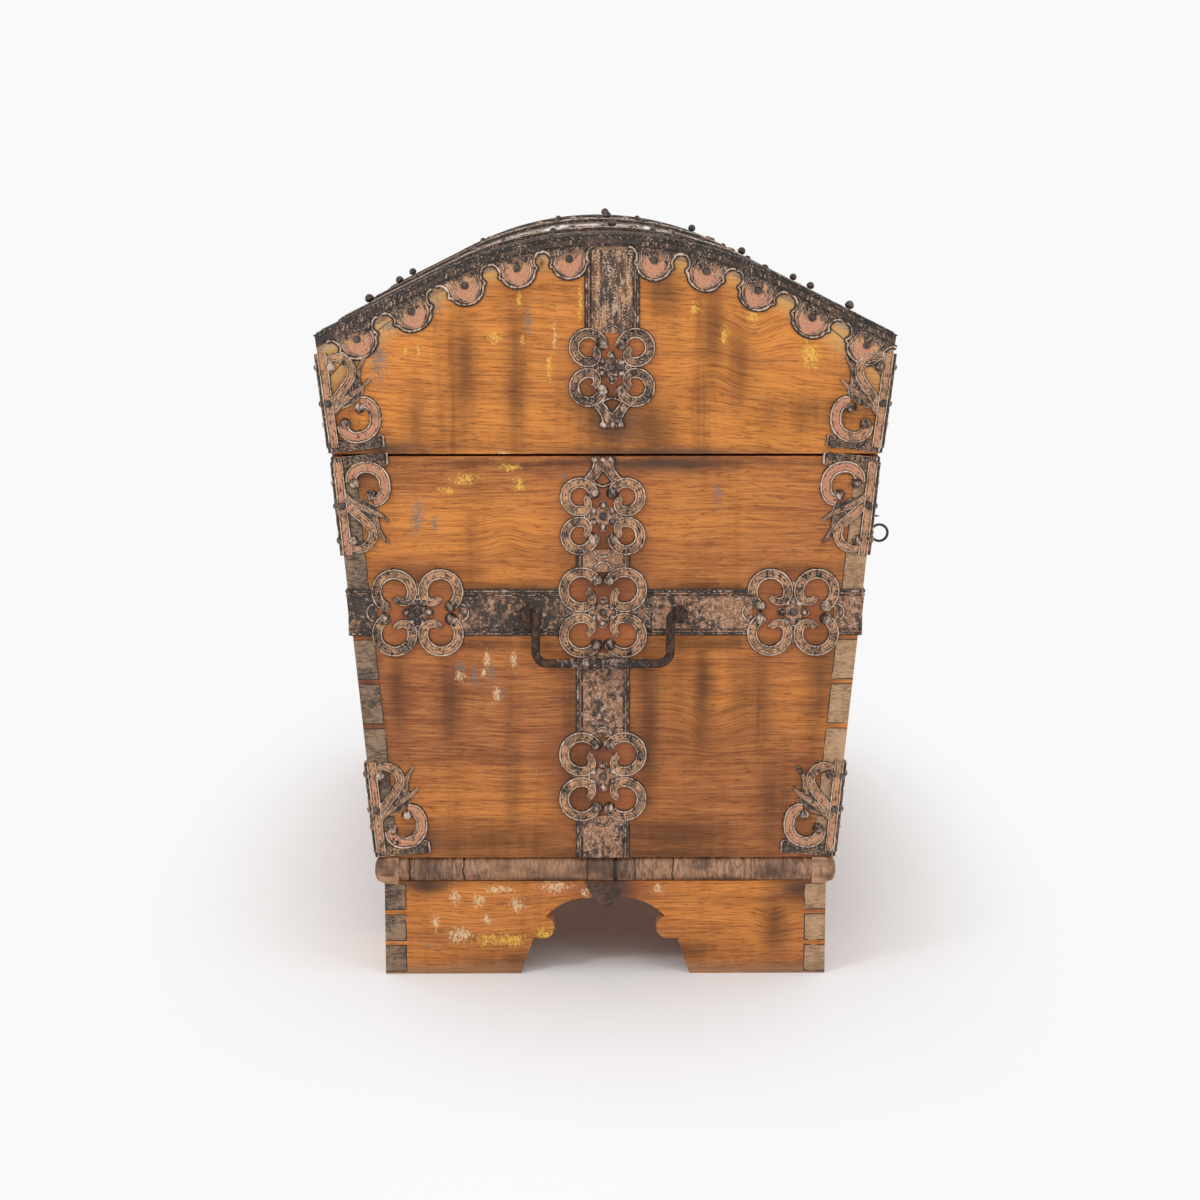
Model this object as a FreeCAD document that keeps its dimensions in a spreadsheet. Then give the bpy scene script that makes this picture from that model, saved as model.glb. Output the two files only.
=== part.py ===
import FreeCAD, Part
import math
import os
import re

# Domed coffer of oak boards with pierced iron mounts. Millimetres; X runs along the chest, the front
# faces -Y, Z is up, and the origin is on the floor under the middle of the body.

V = FreeCAD.Vector
doc = FreeCAD.newDocument("CofferChest")
sheet = doc.addObject("Spreadsheet::Sheet", "Sizes")

SIZES = {
    # Body of dovetailed boards
    "chest_length": 1200,
    "body_height": 460,
    "body_depth_top": 607,
    "body_taper": 43.5,
    "board_thickness": 24,
    "end_joint_drop": 184,
    "tail_count": 9,
    "tail_gap": 6,
    "tail_flare": 3,
    "bottom_thickness": 24,
    "bottom_board_count": 3,
    "seat_clearance": 0.4,
    # Half-round base moulding and arched plinth
    "moulding_height": 30,
    "moulding_width": 27,
    "moulding_proud": 3,
    "plinth_height": 110,
    "plinth_thickness": 24,
    "plinth_setback": 7,
    "plinth_tail_count": 3,
    "foot_share": 0.6166,
    "foot_taper": 14,
    "foot_height": 42,
    "arch_height": 90,
    "arch_shoulder": 14,
    "arch_lobe": 10,
    "arch_slope": 32,
    "corner_block": 38,
    "pendant_width": 52,
    "pendant_drop": 32,
    "pendant_thickness": 14,
    # Domed lid
    "lid_gap": 3,
    "lid_overhang": 2,
    "lid_flare": 15.5,
    "lid_side_height": 130,
    "lid_rise": 110,
    "crown_width": 380,
    "crown_stave_count": 3,
    "stave_thickness": 19,
    "lid_board": 24,
    # Pierced iron straps
    "sheet": 2,
    "end_strap_width": 60,
    "cross_strap_width": 52,
    "long_strap_width": 57,
    "long_strap_spacing": 540,
    "cross_strap_drop": 176,
    "cross_strap_wrap": 160,
    "lower_flower_rise": 95,
    "upper_flower_drop": 67,
    "side_flower_reach": 211,
    "lid_flower_rise": 96,
    "lid_flower_pitch": 122,
    "end_strap_shift": 3,
    "lid_strap_shift": -7,
    "scroll_radius": 20,
    "scroll_band": 10.5,
    "scroll_along": 26,
    "scroll_across": 24,
    "hook_radius": 9.5,
    "small_scroll_radius": 16,
    "small_scroll_along": 22,
    "small_scroll_across": 26,
    "small_hook_radius": 7.5,
    "ball_radius": 6.5,
    "petal_radius": 5,
    "petal_reach": 13,
    "finial_reach": 66,
    "finial_spread": 25,
    "finial_neck": 10.5,
    "finial_foot": 13,
    "hook_tip": 2.6,
    # Corner mounts
    "mount_length": 112,
    "mount_width": 62,
    "mount_edge": 9,
    "mount_ring": 26,
    "mount_loop": 17,
    "mount_spike": 7,
    # Lobed edging round the dome
    "edging_cover": 62,
    "edging_strip": 11,
    "lobe_width": 40,
    "lobe_drop": 43,
    "lobe_first": 49.5,
    "lobe_pitch": 60.6,
    "lobe_count": 5,
    # Hinges
    "knuckle_radius": 6.5,
    "hinge_pin_radius": 3,
    "hinge_setback": 9,
    "hinge_fit": 0.05,
    "knuckle_gap": 0.5,
    # Bail handles
    "handle_span": 172,
    "handle_drop": 56,
    "handle_standoff": 15,
    "bail_radius": 5,
    "bail_corner": 14,
    "bail_bend": 6,
    "bail_bulb": 7.5,
    "bulb_spacing": 22,
    "eye_radius": 10,
    "eye_width": 9,
    "eye_clearance": 0.5,
    "eye_shank_radius": 4,
    "eye_shank_length": 18,
    # Lock and key
    "keyhole_drop": 162,
    "lock_width": 140,
    "lock_drop": 36,
    "lock_depth": 32,
    "lock_wall": 3,
    "rim_clearance": 9,
    "bolt_throw": 20,
    "bolt_thickness": 5,
    "bolt_level": 14,
    "bolt_width": 12,
    "staple_thickness": 5,
    "staple_width": 14,
    "staple_drop": 44,
    "lock_clearance": 1,
    "staple_clearance": 2,
    "escutcheon_width": 84,
    "escutcheon_height": 120,
    "key_shank_radius": 4,
    "key_reach": 80,
    "key_bow_radius": 11.2,
    "key_wire_radius": 1.8,
    "key_bit_reach": 19,
    "key_bit_width": 9,
    "key_bit_thickness": 3,
    "key_clearance": 0.3,
    # Nails
    "nail_head": 4.5,
    "nail_shank": 1.4,
    "nail_length": 14,
}

for row, (word, number) in enumerate(SIZES.items(), start=1):
    sheet.set(f"A{row}", word)
    sheet.set(f"B{row}", str(number))
    sheet.setAlias(f"B{row}", word)
doc.recompute()


def size(word):
    return float(sheet.get(word))


def formula(text):
    return re.sub(r"[a-z_]{4,}", lambda found: "Sizes." + found.group(0), text)


# Levels and half sizes that several pieces share, written as formulas of the driving sizes
BODY_BASE = "(plinth_height + moulding_height)"
BODY_TOP = "(plinth_height + moulding_height + body_height)"
HALF = "(chest_length / 2)"
TOP_HALF = "(body_depth_top / 2)"
BASE_HALF = "(body_depth_top / 2 - body_taper)"
PLINTH_LONG = "(chest_length / 2 - plinth_setback)"
PLINTH_DEEP = f"({BASE_HALF} - plinth_setback)"
MOULDING_LONG = "(chest_length / 2 + moulding_proud)"
MOULDING_DEEP = f"({BASE_HALF} + moulding_proud)"

# The same levels as numbers, for the pieces that are drawn as outlines
half = size("chest_length") / 2
body_base = size("plinth_height") + size("moulding_height")
body_top = body_base + size("body_height")
lid_base = body_top + size("lid_gap")
sheet_iron = size("sheet")
base_half = size("body_depth_top") / 2 - size("body_taper")
lean = math.atan2(size("body_taper"), size("body_height"))
lid_half_foot = size("body_depth_top") / 2 + size("lid_overhang")
lid_half_shoulder = lid_half_foot + size("lid_flare")
lid_lean = math.atan2(size("lid_flare"), size("lid_side_height"))


# Helpers for bound solids

def box(name, x, y, z):
    piece = doc.addObject("Part::Box", name)
    for side, axis, (low, high) in (("Length", "x", x), ("Width", "y", y), ("Height", "z", z)):
        piece.setExpression(side, formula(f"({high}) - ({low})"))
        piece.setExpression(f"Placement.Base.{axis}", formula(low))
    return piece


def wedge(name, turn, bottom, top, rise, depth):
    piece = doc.addObject("Part::Wedge", name)
    piece.Placement = FreeCAD.Placement(V(0, 0, 0), FreeCAD.Rotation(V(1, 1, 1), turn))
    limits = {"Xmin": bottom[0], "Xmax": bottom[1], "X2min": top[0], "X2max": top[1],
              "Ymin": rise[0], "Ymax": rise[1],
              "Zmin": depth[0], "Z2min": depth[0], "Zmax": depth[1], "Z2max": depth[1]}
    for limit, text in limits.items():
        piece.setExpression(limit, formula(text))
    return piece


# Turns about the cube's diagonal that stand a wedge on the chest's side, or lay it along the chest
SIDE_ON = 120
LENGTHWISE = 240


def leaning_slab(name, x, bottom_y, top_y, z):
    return wedge(name, SIDE_ON, bottom_y, top_y, z, x)


def dovetail(name, x, inner_z, outer_z, y):
    return wedge(name, LENGTHWISE, inner_z, outer_z, x, y)


def joined(name, kind, pieces):
    result = doc.addObject(kind, name)
    result.Shapes = pieces
    return result


def common(name, base, tool):
    result = doc.addObject("Part::Common", name)
    result.Base = base
    result.Tool = tool
    return result


def cut(name, base, *tools):
    result = base
    for index, tool in enumerate(tools, start=1):
        last = index == len(tools)
        step = doc.addObject("Part::Cut", name if last else f"{name}_step_{index}")
        step.Base = result
        step.Tool = tool
        result = step
    return result


def mirrored(name, source, normal):
    result = doc.addObject("Part::Mirroring", name)
    result.Source = source
    result.Normal = normal
    return result


def drawn(name, shape):
    piece = doc.addObject("Part::Feature", name)
    piece.Shape = shape
    piece.Placement = shape.Placement
    return piece


ACROSS_X = V(1, 0, 0)
ACROSS_Y = V(0, 1, 0)
BOTH_ENDS = (ACROSS_X,)
FOUR_CORNERS = (ACROSS_X, ACROSS_Y)


# Dovetailed corners: a comb of tails that the front and back boards are cut from

def tail_comb(name, half_length, thickness, base, height, count):
    reach = ("-chest_length", "chest_length")
    teeth = [box(f"{name}_field", (f"-{half_length} + {thickness}", f"{half_length} - {thickness}"),
                 reach, (base, f"{base} + {height}"))]
    for index in range(int(size(count))):
        low = f"{base} + {index} * {height} / {count} + tail_gap / 2"
        high = f"{base} + {index + 1} * {height} / {count} - tail_gap / 2"
        wide = (low, high)
        narrow = (f"{low} + tail_flare", f"{high} - tail_flare")
        teeth.append(dovetail(f"{name}_left_{index}", (f"-{half_length}", f"-{half_length} + {thickness}"),
                              wide, narrow, reach))
        teeth.append(dovetail(f"{name}_right_{index}", (f"{half_length} - {thickness}", half_length),
                              narrow, wide, reach))
    return joined(name, "Part::MultiFuse", teeth)


# Local frames on the chest's faces: u to the right, v up the face and w outward

def frame(origin, u, v):
    return FreeCAD.Placement(origin, FreeCAD.Rotation(u, v, u.cross(v), "XYZ"))


def left_end_frame(y, z):
    return frame(V(-half, y, z), V(0, -1, 0), V(0, 0, 1))


def front_depth(z):
    return -(base_half + (z - body_base) * math.tan(lean))


def lid_front_depth(z):
    return -(lid_half_foot + (z - lid_base) * math.tan(lid_lean))


def front_frame(x, z):
    return frame(V(x, front_depth(z), z), V(1, 0, 0), V(0, -math.sin(lean), math.cos(lean)))


def lid_front_frame(x, z):
    return frame(V(x, lid_front_depth(z), z), V(1, 0, 0), V(0, -math.sin(lid_lean), math.cos(lid_lean)))


def placed(shape, place):
    moved = shape.copy()
    moved.Placement = place.multiply(shape.Placement)
    return moved


def plate(u, v, thickness, w=0):
    return Part.makeBox(u[1] - u[0], v[1] - v[0], thickness, V(u[0], v[0], w))


def disc(u, v, radius, thickness, w=0):
    return Part.makeCylinder(radius, thickness, V(u, v, w))


def ring(u, v, outer, inner, thickness):
    return disc(u, v, outer, thickness).cut(disc(u, v, inner, thickness))


def bar(start, end, width, thickness):
    length = math.hypot(end[0] - start[0], end[1] - start[1])
    angle = math.degrees(math.atan2(end[1] - start[1], end[0] - start[0]))
    strip = plate((0, length), (-width / 2, width / 2), thickness)
    return placed(strip, FreeCAD.Placement(V(start[0], start[1], 0), FreeCAD.Rotation(V(0, 0, 1), angle)))


def welded(shapes):
    return shapes[0].fuse(shapes[1:]).removeSplitter()


def polygon(points):
    return Part.Face(Part.makePolygon(points + points[:1]))


# Scroll ornament: four C-scrolls round a six-petalled flower

def arc_edge(u, v, radius, start, end):
    def point(angle):
        turned = math.radians(angle)
        return V(u + radius * math.cos(turned), v + radius * math.sin(turned), 0)
    return Part.Arc(point(start), point((start + end) / 2), point(end)).toShape()


# Large flowers fill the straps, small ones carry a finial; the angles say where a scroll's ball is
LARGE = ""
SMALL = "small_"
SCROLL_START = {LARGE: -56, SMALL: -75}
SCROLL_TURN = 190
SCROLL_END = 335


def scroll(thickness, kind):
    band = size("scroll_band") / 2
    large = size(f"{kind}scroll_radius")
    small = size(f"{kind}hook_radius")
    u = size(f"{kind}scroll_along")
    v = size(f"{kind}scroll_across")
    hook_u = u + (large - small) * math.cos(math.radians(SCROLL_TURN))
    hook_v = v + (large - small) * math.sin(math.radians(SCROLL_TURN))
    outer = [arc_edge(u, v, large + band, SCROLL_START[kind], SCROLL_TURN),
             arc_edge(hook_u, hook_v, small + band, SCROLL_TURN, SCROLL_END)]
    inner = [arc_edge(hook_u, hook_v, small - size("hook_tip"), SCROLL_END, SCROLL_TURN),
             arc_edge(u, v, large - band, SCROLL_TURN, SCROLL_START[kind])]
    edges = [outer[0], outer[1],
             Part.makeLine(outer[1].Vertexes[-1].Point, inner[0].Vertexes[0].Point), inner[0],
             Part.makeLine(inner[0].Vertexes[-1].Point, inner[1].Vertexes[0].Point), inner[1],
             Part.makeLine(inner[1].Vertexes[-1].Point, outer[0].Vertexes[0].Point)]
    face = Part.Face(Part.Wire(edges))
    start = math.radians(SCROLL_START[kind])
    ball = disc(u + large * math.cos(start), v + large * math.sin(start), size("ball_radius"), thickness)
    return face.extrude(V(0, 0, thickness)).fuse(ball)


def quatrefoil(thickness, kind):
    corner = scroll(thickness, kind)
    corners = [corner, corner.mirror(V(0, 0, 0), V(1, 0, 0))]
    corners += [piece.mirror(V(0, 0, 0), V(0, 1, 0)) for piece in corners]
    reach = size("petal_reach")
    petals = [disc(reach * math.cos(math.radians(angle)), reach * math.sin(math.radians(angle)),
                   size("petal_radius"), thickness) for angle in range(0, 360, 60)]
    heart = disc(0, 0, reach - size("petal_radius") / 2, thickness)
    tie = size(f"{kind}scroll_across") + size(f"{kind}scroll_radius") - size(f"{kind}hook_radius")
    stem = plate((-size("petal_radius"), size("petal_radius")), (-tie, tie), thickness)
    return welded(corners + petals + [heart, stem])


def finial(tip):
    """Two arms from the scrolls that meet round a diamond-shaped opening, on a neck with a spread foot."""
    spread = size("finial_spread")
    neck = size("finial_neck")
    foot = size("finial_foot")
    low = size("small_scroll_along") + size("small_scroll_radius")
    side = [(spread, low), (foot, low + foot), (neck, tip - neck / 2), (foot, tip - neck / 3), (foot, tip)]
    outline = side + [(-u, v) for u, v in reversed(side)]
    outline += [(-neck, low), (0, low + foot), (neck, low)]
    return [polygon([V(u, v, 0) for u, v in outline]).extrude(V(0, 0, sheet_iron))]


FLOWERS = {kind: quatrefoil(sheet_iron, kind) for kind in (LARGE, SMALL)}
UPRIGHT = FreeCAD.Rotation(V(0, 0, 1), 90)
flower_long = {kind: size(f"{kind}scroll_along") + size(f"{kind}scroll_radius") for kind in (LARGE, SMALL)}
flower_wide = size("scroll_across") + size("scroll_radius")


def flower_at(u, v, upright, kind):
    turn = UPRIGHT if upright else FreeCAD.Rotation()
    return placed(FLOWERS[kind], FreeCAD.Placement(V(u, v, 0), turn))


# Each nail is kept with its group and the planes that it is mirrored across
nails = []


def drive_nail(group, place, u, v, planes):
    seat = place.multiply(FreeCAD.Placement(V(u, v, sheet_iron), FreeCAD.Rotation()))
    nails.append((group, seat, planes))


def strap_with_flowers(width, bottom, top, flowers, tip=None):
    """Upright strap; each flower is given by its rise and its kind."""
    stretches = [bottom]
    for rise, kind in flowers:
        stretches += [rise - flower_long[kind], rise + flower_long[kind]]
    stretches.append(top)
    pieces = [flower_at(0, rise, True, kind) for rise, kind in flowers]
    for low, high in zip(stretches[0::2], stretches[1::2]):
        if high - low > sheet_iron:
            pieces.append(plate((-width / 2, width / 2), (low, high), sheet_iron))
    if tip is not None:
        crown = flowers[-1][0] if tip > flowers[-1][0] else flowers[0][0]
        turn = FreeCAD.Rotation(V(0, 0, 1), 0 if tip > crown else 180)
        place = FreeCAD.Placement(V(0, crown, 0), turn)
        pieces += [placed(part, place) for part in finial(abs(tip - crown))]
    return welded(pieces)


# Oak body

comb = tail_comb("body_comb", HALF, "board_thickness", BODY_BASE, "body_height", "tail_count")
full_length = (f"-{HALF}", HALF)
body_rise = (BODY_BASE, BODY_TOP)
front_slab = leaning_slab("front_slab", full_length, (f"-{BASE_HALF}", f"-{BASE_HALF} + board_thickness"),
                          (f"-{TOP_HALF}", f"-{TOP_HALF} + board_thickness"), body_rise)
back_slab = leaning_slab("back_slab", full_length, (f"{BASE_HALF} - board_thickness", BASE_HALF),
                         (f"{TOP_HALF} - board_thickness", TOP_HALF), body_rise)
front_tailed = common("front_tailed", front_slab, comb)
back_board = common("back_board", back_slab, comb)

keyhole_z = body_top - size("keyhole_drop")
lock_place = front_frame(0, keyhole_z)
board_normal = size("board_thickness") * math.cos(lean)
key_bore = size("key_shank_radius") + size("key_clearance")
slot_half = size("key_bit_thickness") / 2 + size("key_clearance")
slot_low = -size("key_bit_reach") - size("key_clearance")


def keyhole(depth, w):
    slot = plate((-slot_half, slot_half), (slot_low, 0), depth, w)
    return disc(0, 0, key_bore, depth, w).fuse(slot)


front_keyhole = drawn("front_keyhole", placed(keyhole(3 * board_normal, -2 * board_normal), lock_place))
front_board = cut("front_board", front_tailed, front_keyhole)

JOINT = f"({BODY_TOP} - end_joint_drop)"
JOINT_HALF = f"({TOP_HALF} - body_taper * end_joint_drop / body_height)"
end_x = (f"-{HALF}", f"-{HALF} + board_thickness")
at_base = (f"-{BASE_HALF}", BASE_HALF)
at_joint = (f"-{JOINT_HALF}", JOINT_HALF)
at_top = (f"-{TOP_HALF}", TOP_HALF)
lower_slab = leaning_slab("left_lower_slab", end_x, at_base, at_joint, (BODY_BASE, JOINT))
upper_slab = leaning_slab("left_upper_slab", end_x, at_joint, at_top, (JOINT, BODY_TOP))
left_lower = cut("left_end_lower_board", lower_slab, front_tailed, back_board)
left_upper = cut("left_end_upper_board", upper_slab, front_tailed, back_board)
right_lower = mirrored("right_end_lower_board", left_lower, ACROSS_X)
right_upper = mirrored("right_end_upper_board", left_upper, ACROSS_X)

# Bottom boards inside the moulding frame, resting on the plinth's top edges
BOTTOM_LONG = f"({MOULDING_LONG} - moulding_width - seat_clearance)"
BOTTOM_DEEP = f"({MOULDING_DEEP} - moulding_width - seat_clearance)"
bottom_boards = []
for index in range(int(size("bottom_board_count"))):
    y_low = f"-{BOTTOM_DEEP} + {index} * 2 * {BOTTOM_DEEP} / bottom_board_count"
    y_high = f"-{BOTTOM_DEEP} + {index + 1} * 2 * {BOTTOM_DEEP} / bottom_board_count"
    bottom_boards.append(box(f"bottom_board_{index + 1}", (f"-{BOTTOM_LONG}", BOTTOM_LONG), (y_low, y_high),
                             ("plinth_height", "plinth_height + bottom_thickness")))

# Half-round base moulding: the front and back strips run through, the end strips fit between them
ROUND = "(moulding_height / 2)"


def half_round(name, long, deep, along_x):
    core_deep = (f"-{deep} + {ROUND}", f"-{deep} + moulding_width")
    level = ("plinth_height", BODY_BASE)
    run = (f"-({long})", long)
    x, y = (run, core_deep) if along_x else (core_deep, run)
    core = box(f"{name}_core", x, y, level)
    nose = doc.addObject("Part::Cylinder", f"{name}_nose")
    nose.setExpression("Radius", formula(ROUND))
    nose.setExpression("Height", formula(f"2 * ({long})"))
    axis, angle = (ACROSS_Y, 90) if along_x else (ACROSS_X, -90)
    nose.Placement = FreeCAD.Placement(V(0, 0, 0), FreeCAD.Rotation(axis, angle))
    start, side = ("x", "y") if along_x else ("y", "x")
    nose.setExpression(f"Placement.Base.{start}", formula(f"-({long})"))
    nose.setExpression(f"Placement.Base.{side}", formula(f"-{deep} + {ROUND}"))
    nose.setExpression("Placement.Base.z", formula(f"plinth_height + {ROUND}"))
    rounded = joined(f"{name}_rounded", "Part::MultiFuse", [core, nose])
    whole_deep = (f"-{deep}", f"-{deep} + moulding_width")
    x, y = (run, whole_deep) if along_x else (whole_deep, run)
    return common(name, rounded, box(f"{name}_width", x, y, level))


moulding_front = half_round("base_moulding_front", MOULDING_LONG, MOULDING_DEEP, True)
moulding_back = mirrored("base_moulding_back", moulding_front, ACROSS_Y)
moulding_left = half_round("base_moulding_left", f"{MOULDING_DEEP} - moulding_width", MOULDING_LONG, False)
moulding_right = mirrored("base_moulding_right", moulding_left, ACROSS_X)

# Dovetailed plinth with an ogee arch on each side


def arch(name, half_span, across_x):
    reach = size("chest_length")
    foot = size("foot_height")
    top = size("arch_height")
    narrow = half_span - size("foot_taper")
    shoulder = narrow - size("arch_shoulder")
    lobe = shoulder - size("arch_lobe")
    crown = lobe - size("arch_slope")
    lobe_rise = (top - foot) / 3

    def at(across, z):
        return V(across, -reach, z) if across_x else V(-reach, across, z)

    def side(sign):
        return [Part.makeLine(at(sign * half_span, -foot), at(sign * half_span, 0)),
                Part.makeLine(at(sign * half_span, 0), at(sign * narrow, foot)),
                Part.makeLine(at(sign * narrow, foot), at(sign * shoulder, foot)),
                Part.Arc(at(sign * shoulder, foot), at(sign * lobe, foot + lobe_rise),
                         at(sign * shoulder, foot + 1.6 * lobe_rise)).toShape(),
                Part.Arc(at(sign * shoulder, foot + 1.6 * lobe_rise),
                         at(sign * (shoulder + crown) / 2, foot + 2.6 * lobe_rise),
                         at(sign * crown, top)).toShape()]

    edges = side(1) + side(-1)
    edges.append(Part.makeLine(at(crown, top), at(-crown, top)))
    edges.append(Part.makeLine(at(half_span, -foot), at(-half_span, -foot)))
    opening = Part.Face(Part.Wire(Part.__sortEdges__(edges)))
    through = V(0, 2 * reach, 0) if across_x else V(2 * reach, 0, 0)
    return drawn(name, opening.extrude(through))


plinth_long = half - size("plinth_setback")
plinth_deep = base_half - size("plinth_setback")
foot_width = size("foot_share") * plinth_deep
long_arch = arch("long_arch", plinth_long - foot_width, True)
end_arch = arch("end_arch", plinth_deep - foot_width, False)
plinth_comb = tail_comb("plinth_comb", PLINTH_LONG, "plinth_thickness", "0", "plinth_height",
                        "plinth_tail_count")
plinth_slab = box("plinth_front_slab", (f"-{PLINTH_LONG}", PLINTH_LONG),
                  (f"-{PLINTH_DEEP}", f"-{PLINTH_DEEP} + plinth_thickness"), ("0", "plinth_height"))
plinth_tailed = common("plinth_tailed", plinth_slab, plinth_comb)
plinth_front = cut("plinth_front", plinth_tailed, long_arch)
plinth_back = mirrored("plinth_back", plinth_front, ACROSS_Y)
plinth_end_slab = box("plinth_end_slab", (f"-{PLINTH_LONG}", f"-{PLINTH_LONG} + plinth_thickness"),
                      (f"-{PLINTH_DEEP}", PLINTH_DEEP), ("0", "plinth_height"))
plinth_left = cut("plinth_left", plinth_end_slab, plinth_front, plinth_back, end_arch)
plinth_right = mirrored("plinth_right", plinth_left, ACROSS_X)

# Glue blocks in the plinth's corners and a pendant behind the middle of each arch
inner_long = plinth_long - size("plinth_thickness")
inner_deep = plinth_deep - size("plinth_thickness")
block = size("corner_block")
blocks = [Part.makeBox(block, block, size("plinth_height"), V(x, y, 0))
          for x in (-inner_long, inner_long - block) for y in (-inner_deep, inner_deep - block)]
corner_blocks = drawn("plinth_corner_blocks", Part.makeCompound(blocks))


def pendant():
    wide = size("pendant_width") / 2
    tip = wide / 2
    top = size("plinth_height")
    low = top - size("pendant_drop")
    outline = [Part.makeLine(V(-wide, 0, top), V(wide, 0, top)),
               Part.makeLine(V(wide, 0, top), V(tip, 0, low + tip)),
               Part.Arc(V(tip, 0, low + tip), V(0, 0, low), V(-tip, 0, low + tip)).toShape(),
               Part.makeLine(V(-tip, 0, low + tip), V(-wide, 0, top))]
    return Part.Face(Part.Wire(outline)).extrude(V(0, size("pendant_thickness"), 0))


pendants = []
for turn, reach in ((0, inner_deep), (90, inner_long), (180, inner_deep), (270, inner_long)):
    spin = FreeCAD.Rotation(V(0, 0, 1), turn)
    pendants.append(placed(pendant(), FreeCAD.Placement(spin.multVec(V(0, -reach, 0)), spin)))
plinth_pendants = drawn("plinth_pendants", Part.makeCompound(pendants))


# Domed lid: its end-on outline is a leaning side, a straight flank and a crown arc tangent to it

shoulder_z = lid_base + size("lid_side_height")
crown_half = size("crown_width") / 2


def flank_angle():
    low, high = 0.0, math.pi / 2
    for _ in range(60):
        middle = (low + high) / 2
        rise = crown_half * math.tan(middle / 2) + (lid_half_shoulder - crown_half) * math.tan(middle)
        low, high = (middle, high) if rise < size("lid_rise") else (low, middle)
    return (low + high) / 2


flank = flank_angle()
crown_radius = crown_half / math.sin(flank)
crown_z = shoulder_z + size("lid_rise") - crown_radius


def crown_point(angle, offset, x):
    radius = crown_radius + offset
    return V(x, radius * math.sin(angle), crown_z + radius * math.cos(angle))


def side_y(z, side_offset):
    return lid_half_foot + side_offset / math.cos(lid_lean) + (z - lid_base) * math.tan(lid_lean)


def shoulder_point(offset, side_offset, x):
    spring = crown_point(flank, offset, x)
    overlap = side_y(spring.z, side_offset) - spring.y
    run = overlap / (math.cos(flank) + math.tan(lid_lean) * math.sin(flank))
    return V(x, spring.y + run * math.cos(flank), spring.z - run * math.sin(flank))


def other_side(point):
    return V(point.x, -point.y, point.z)


def dome_edges(offset, side_offset, x):
    shoulder = shoulder_point(offset, side_offset, x)
    spring = crown_point(flank, offset, x)
    arc = Part.Arc(spring, crown_point(0, offset, x), other_side(spring)).toShape()
    return [Part.makeLine(shoulder, spring), arc, Part.makeLine(other_side(spring), other_side(shoulder))]


def lid_run(offset, x):
    shoulder = shoulder_point(offset, offset, x)
    foot = V(x, side_y(lid_base, offset), lid_base)
    return ([Part.makeLine(foot, shoulder)] + dome_edges(offset, offset, x)
            + [Part.makeLine(other_side(shoulder), other_side(foot))])


def closed_between(outer, inner):
    ends = [Part.makeLine(outer[0].Vertexes[0].Point, inner[0].Vertexes[0].Point),
            Part.makeLine(outer[-1].Vertexes[-1].Point, inner[-1].Vertexes[-1].Point)]
    return Part.Face(Part.Wire(Part.__sortEdges__(outer + inner + ends)))


def along(face, length):
    return face.extrude(V(length, 0, 0))


stave = size("stave_thickness")
lid_board = size("lid_board")
length = size("chest_length")


def crown_stave(start, end):
    middle = (start + end) / 2
    outer = Part.Arc(crown_point(start, 0, -half), crown_point(middle, 0, -half), crown_point(end, 0, -half))
    inner = Part.Arc(crown_point(start, -stave, -half), crown_point(middle, -stave, -half),
                     crown_point(end, -stave, -half))
    return along(closed_between([outer.toShape()], [inner.toShape()]), length)


stave_count = int(size("crown_stave_count"))
staves = []
for index in range(stave_count):
    start = -flank + 2 * flank * index / stave_count
    end = -flank + 2 * flank * (index + 1) / stave_count
    staves.append(drawn(f"lid_crown_stave_{index + 1}", crown_stave(start, end)))

back_flank_face = polygon([crown_point(flank, 0, -half), shoulder_point(0, 0, -half),
                           shoulder_point(-stave, 0, -half), crown_point(flank, -stave, -half)])
lid_back_flank = drawn("lid_back_flank", along(back_flank_face, length))
lid_front_flank = mirrored("lid_front_flank", lid_back_flank, ACROSS_Y)

end_edges = dome_edges(-stave, 0, -half)
foot_back = V(-half, lid_half_foot, lid_base)
end_edges += [Part.makeLine(end_edges[0].Vertexes[0].Point, foot_back),
              Part.makeLine(foot_back, other_side(foot_back)),
              Part.makeLine(other_side(foot_back), end_edges[2].Vertexes[-1].Point)]
lid_left_end = drawn("lid_left_end", along(Part.Face(Part.Wire(Part.__sortEdges__(end_edges))), lid_board))
lid_right_end = mirrored("lid_right_end", lid_left_end, ACROSS_X)

rail_start = -half + lid_board
rail_face = polygon([V(rail_start, side_y(lid_base, 0), lid_base), shoulder_point(-stave, 0, rail_start),
                     shoulder_point(-stave, -lid_board, rail_start),
                     V(rail_start, side_y(lid_base, -lid_board), lid_base)])
lid_back_rail = drawn("lid_back_rail", along(rail_face, length - 2 * lid_board))
lid_front_rail = mirrored("lid_front_rail", lid_back_rail, ACROSS_Y)


# Iron on the ends: upright strap, cross straps that turn the corners, and the lid's strap

cross_z = body_top - size("cross_strap_drop")
end_shift = size("end_strap_shift")
left_strap_place = left_end_frame(end_shift, body_base)
flower_rises = [size("lower_flower_rise"), size("body_height") - size("cross_strap_drop"),
                size("body_height") - size("upper_flower_drop")]
body_flowers = list(zip(flower_rises, (LARGE, LARGE, SMALL)))
left_end_strap = drawn("left_end_strap", placed(strap_with_flowers(
    size("end_strap_width"), 0, flower_rises[-1], body_flowers,
    flower_rises[-1] + size("finial_reach")), left_strap_place))
right_end_strap = mirrored("right_end_strap", left_end_strap, ACROSS_X)
for rise in flower_rises:
    drive_nail("carcass", left_strap_place, 0, rise, BOTH_ENDS)

cross_half = size("cross_strap_width") / 2
center_gap = flower_wide + size("scroll_band") / 2 + size("seat_clearance")


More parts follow.
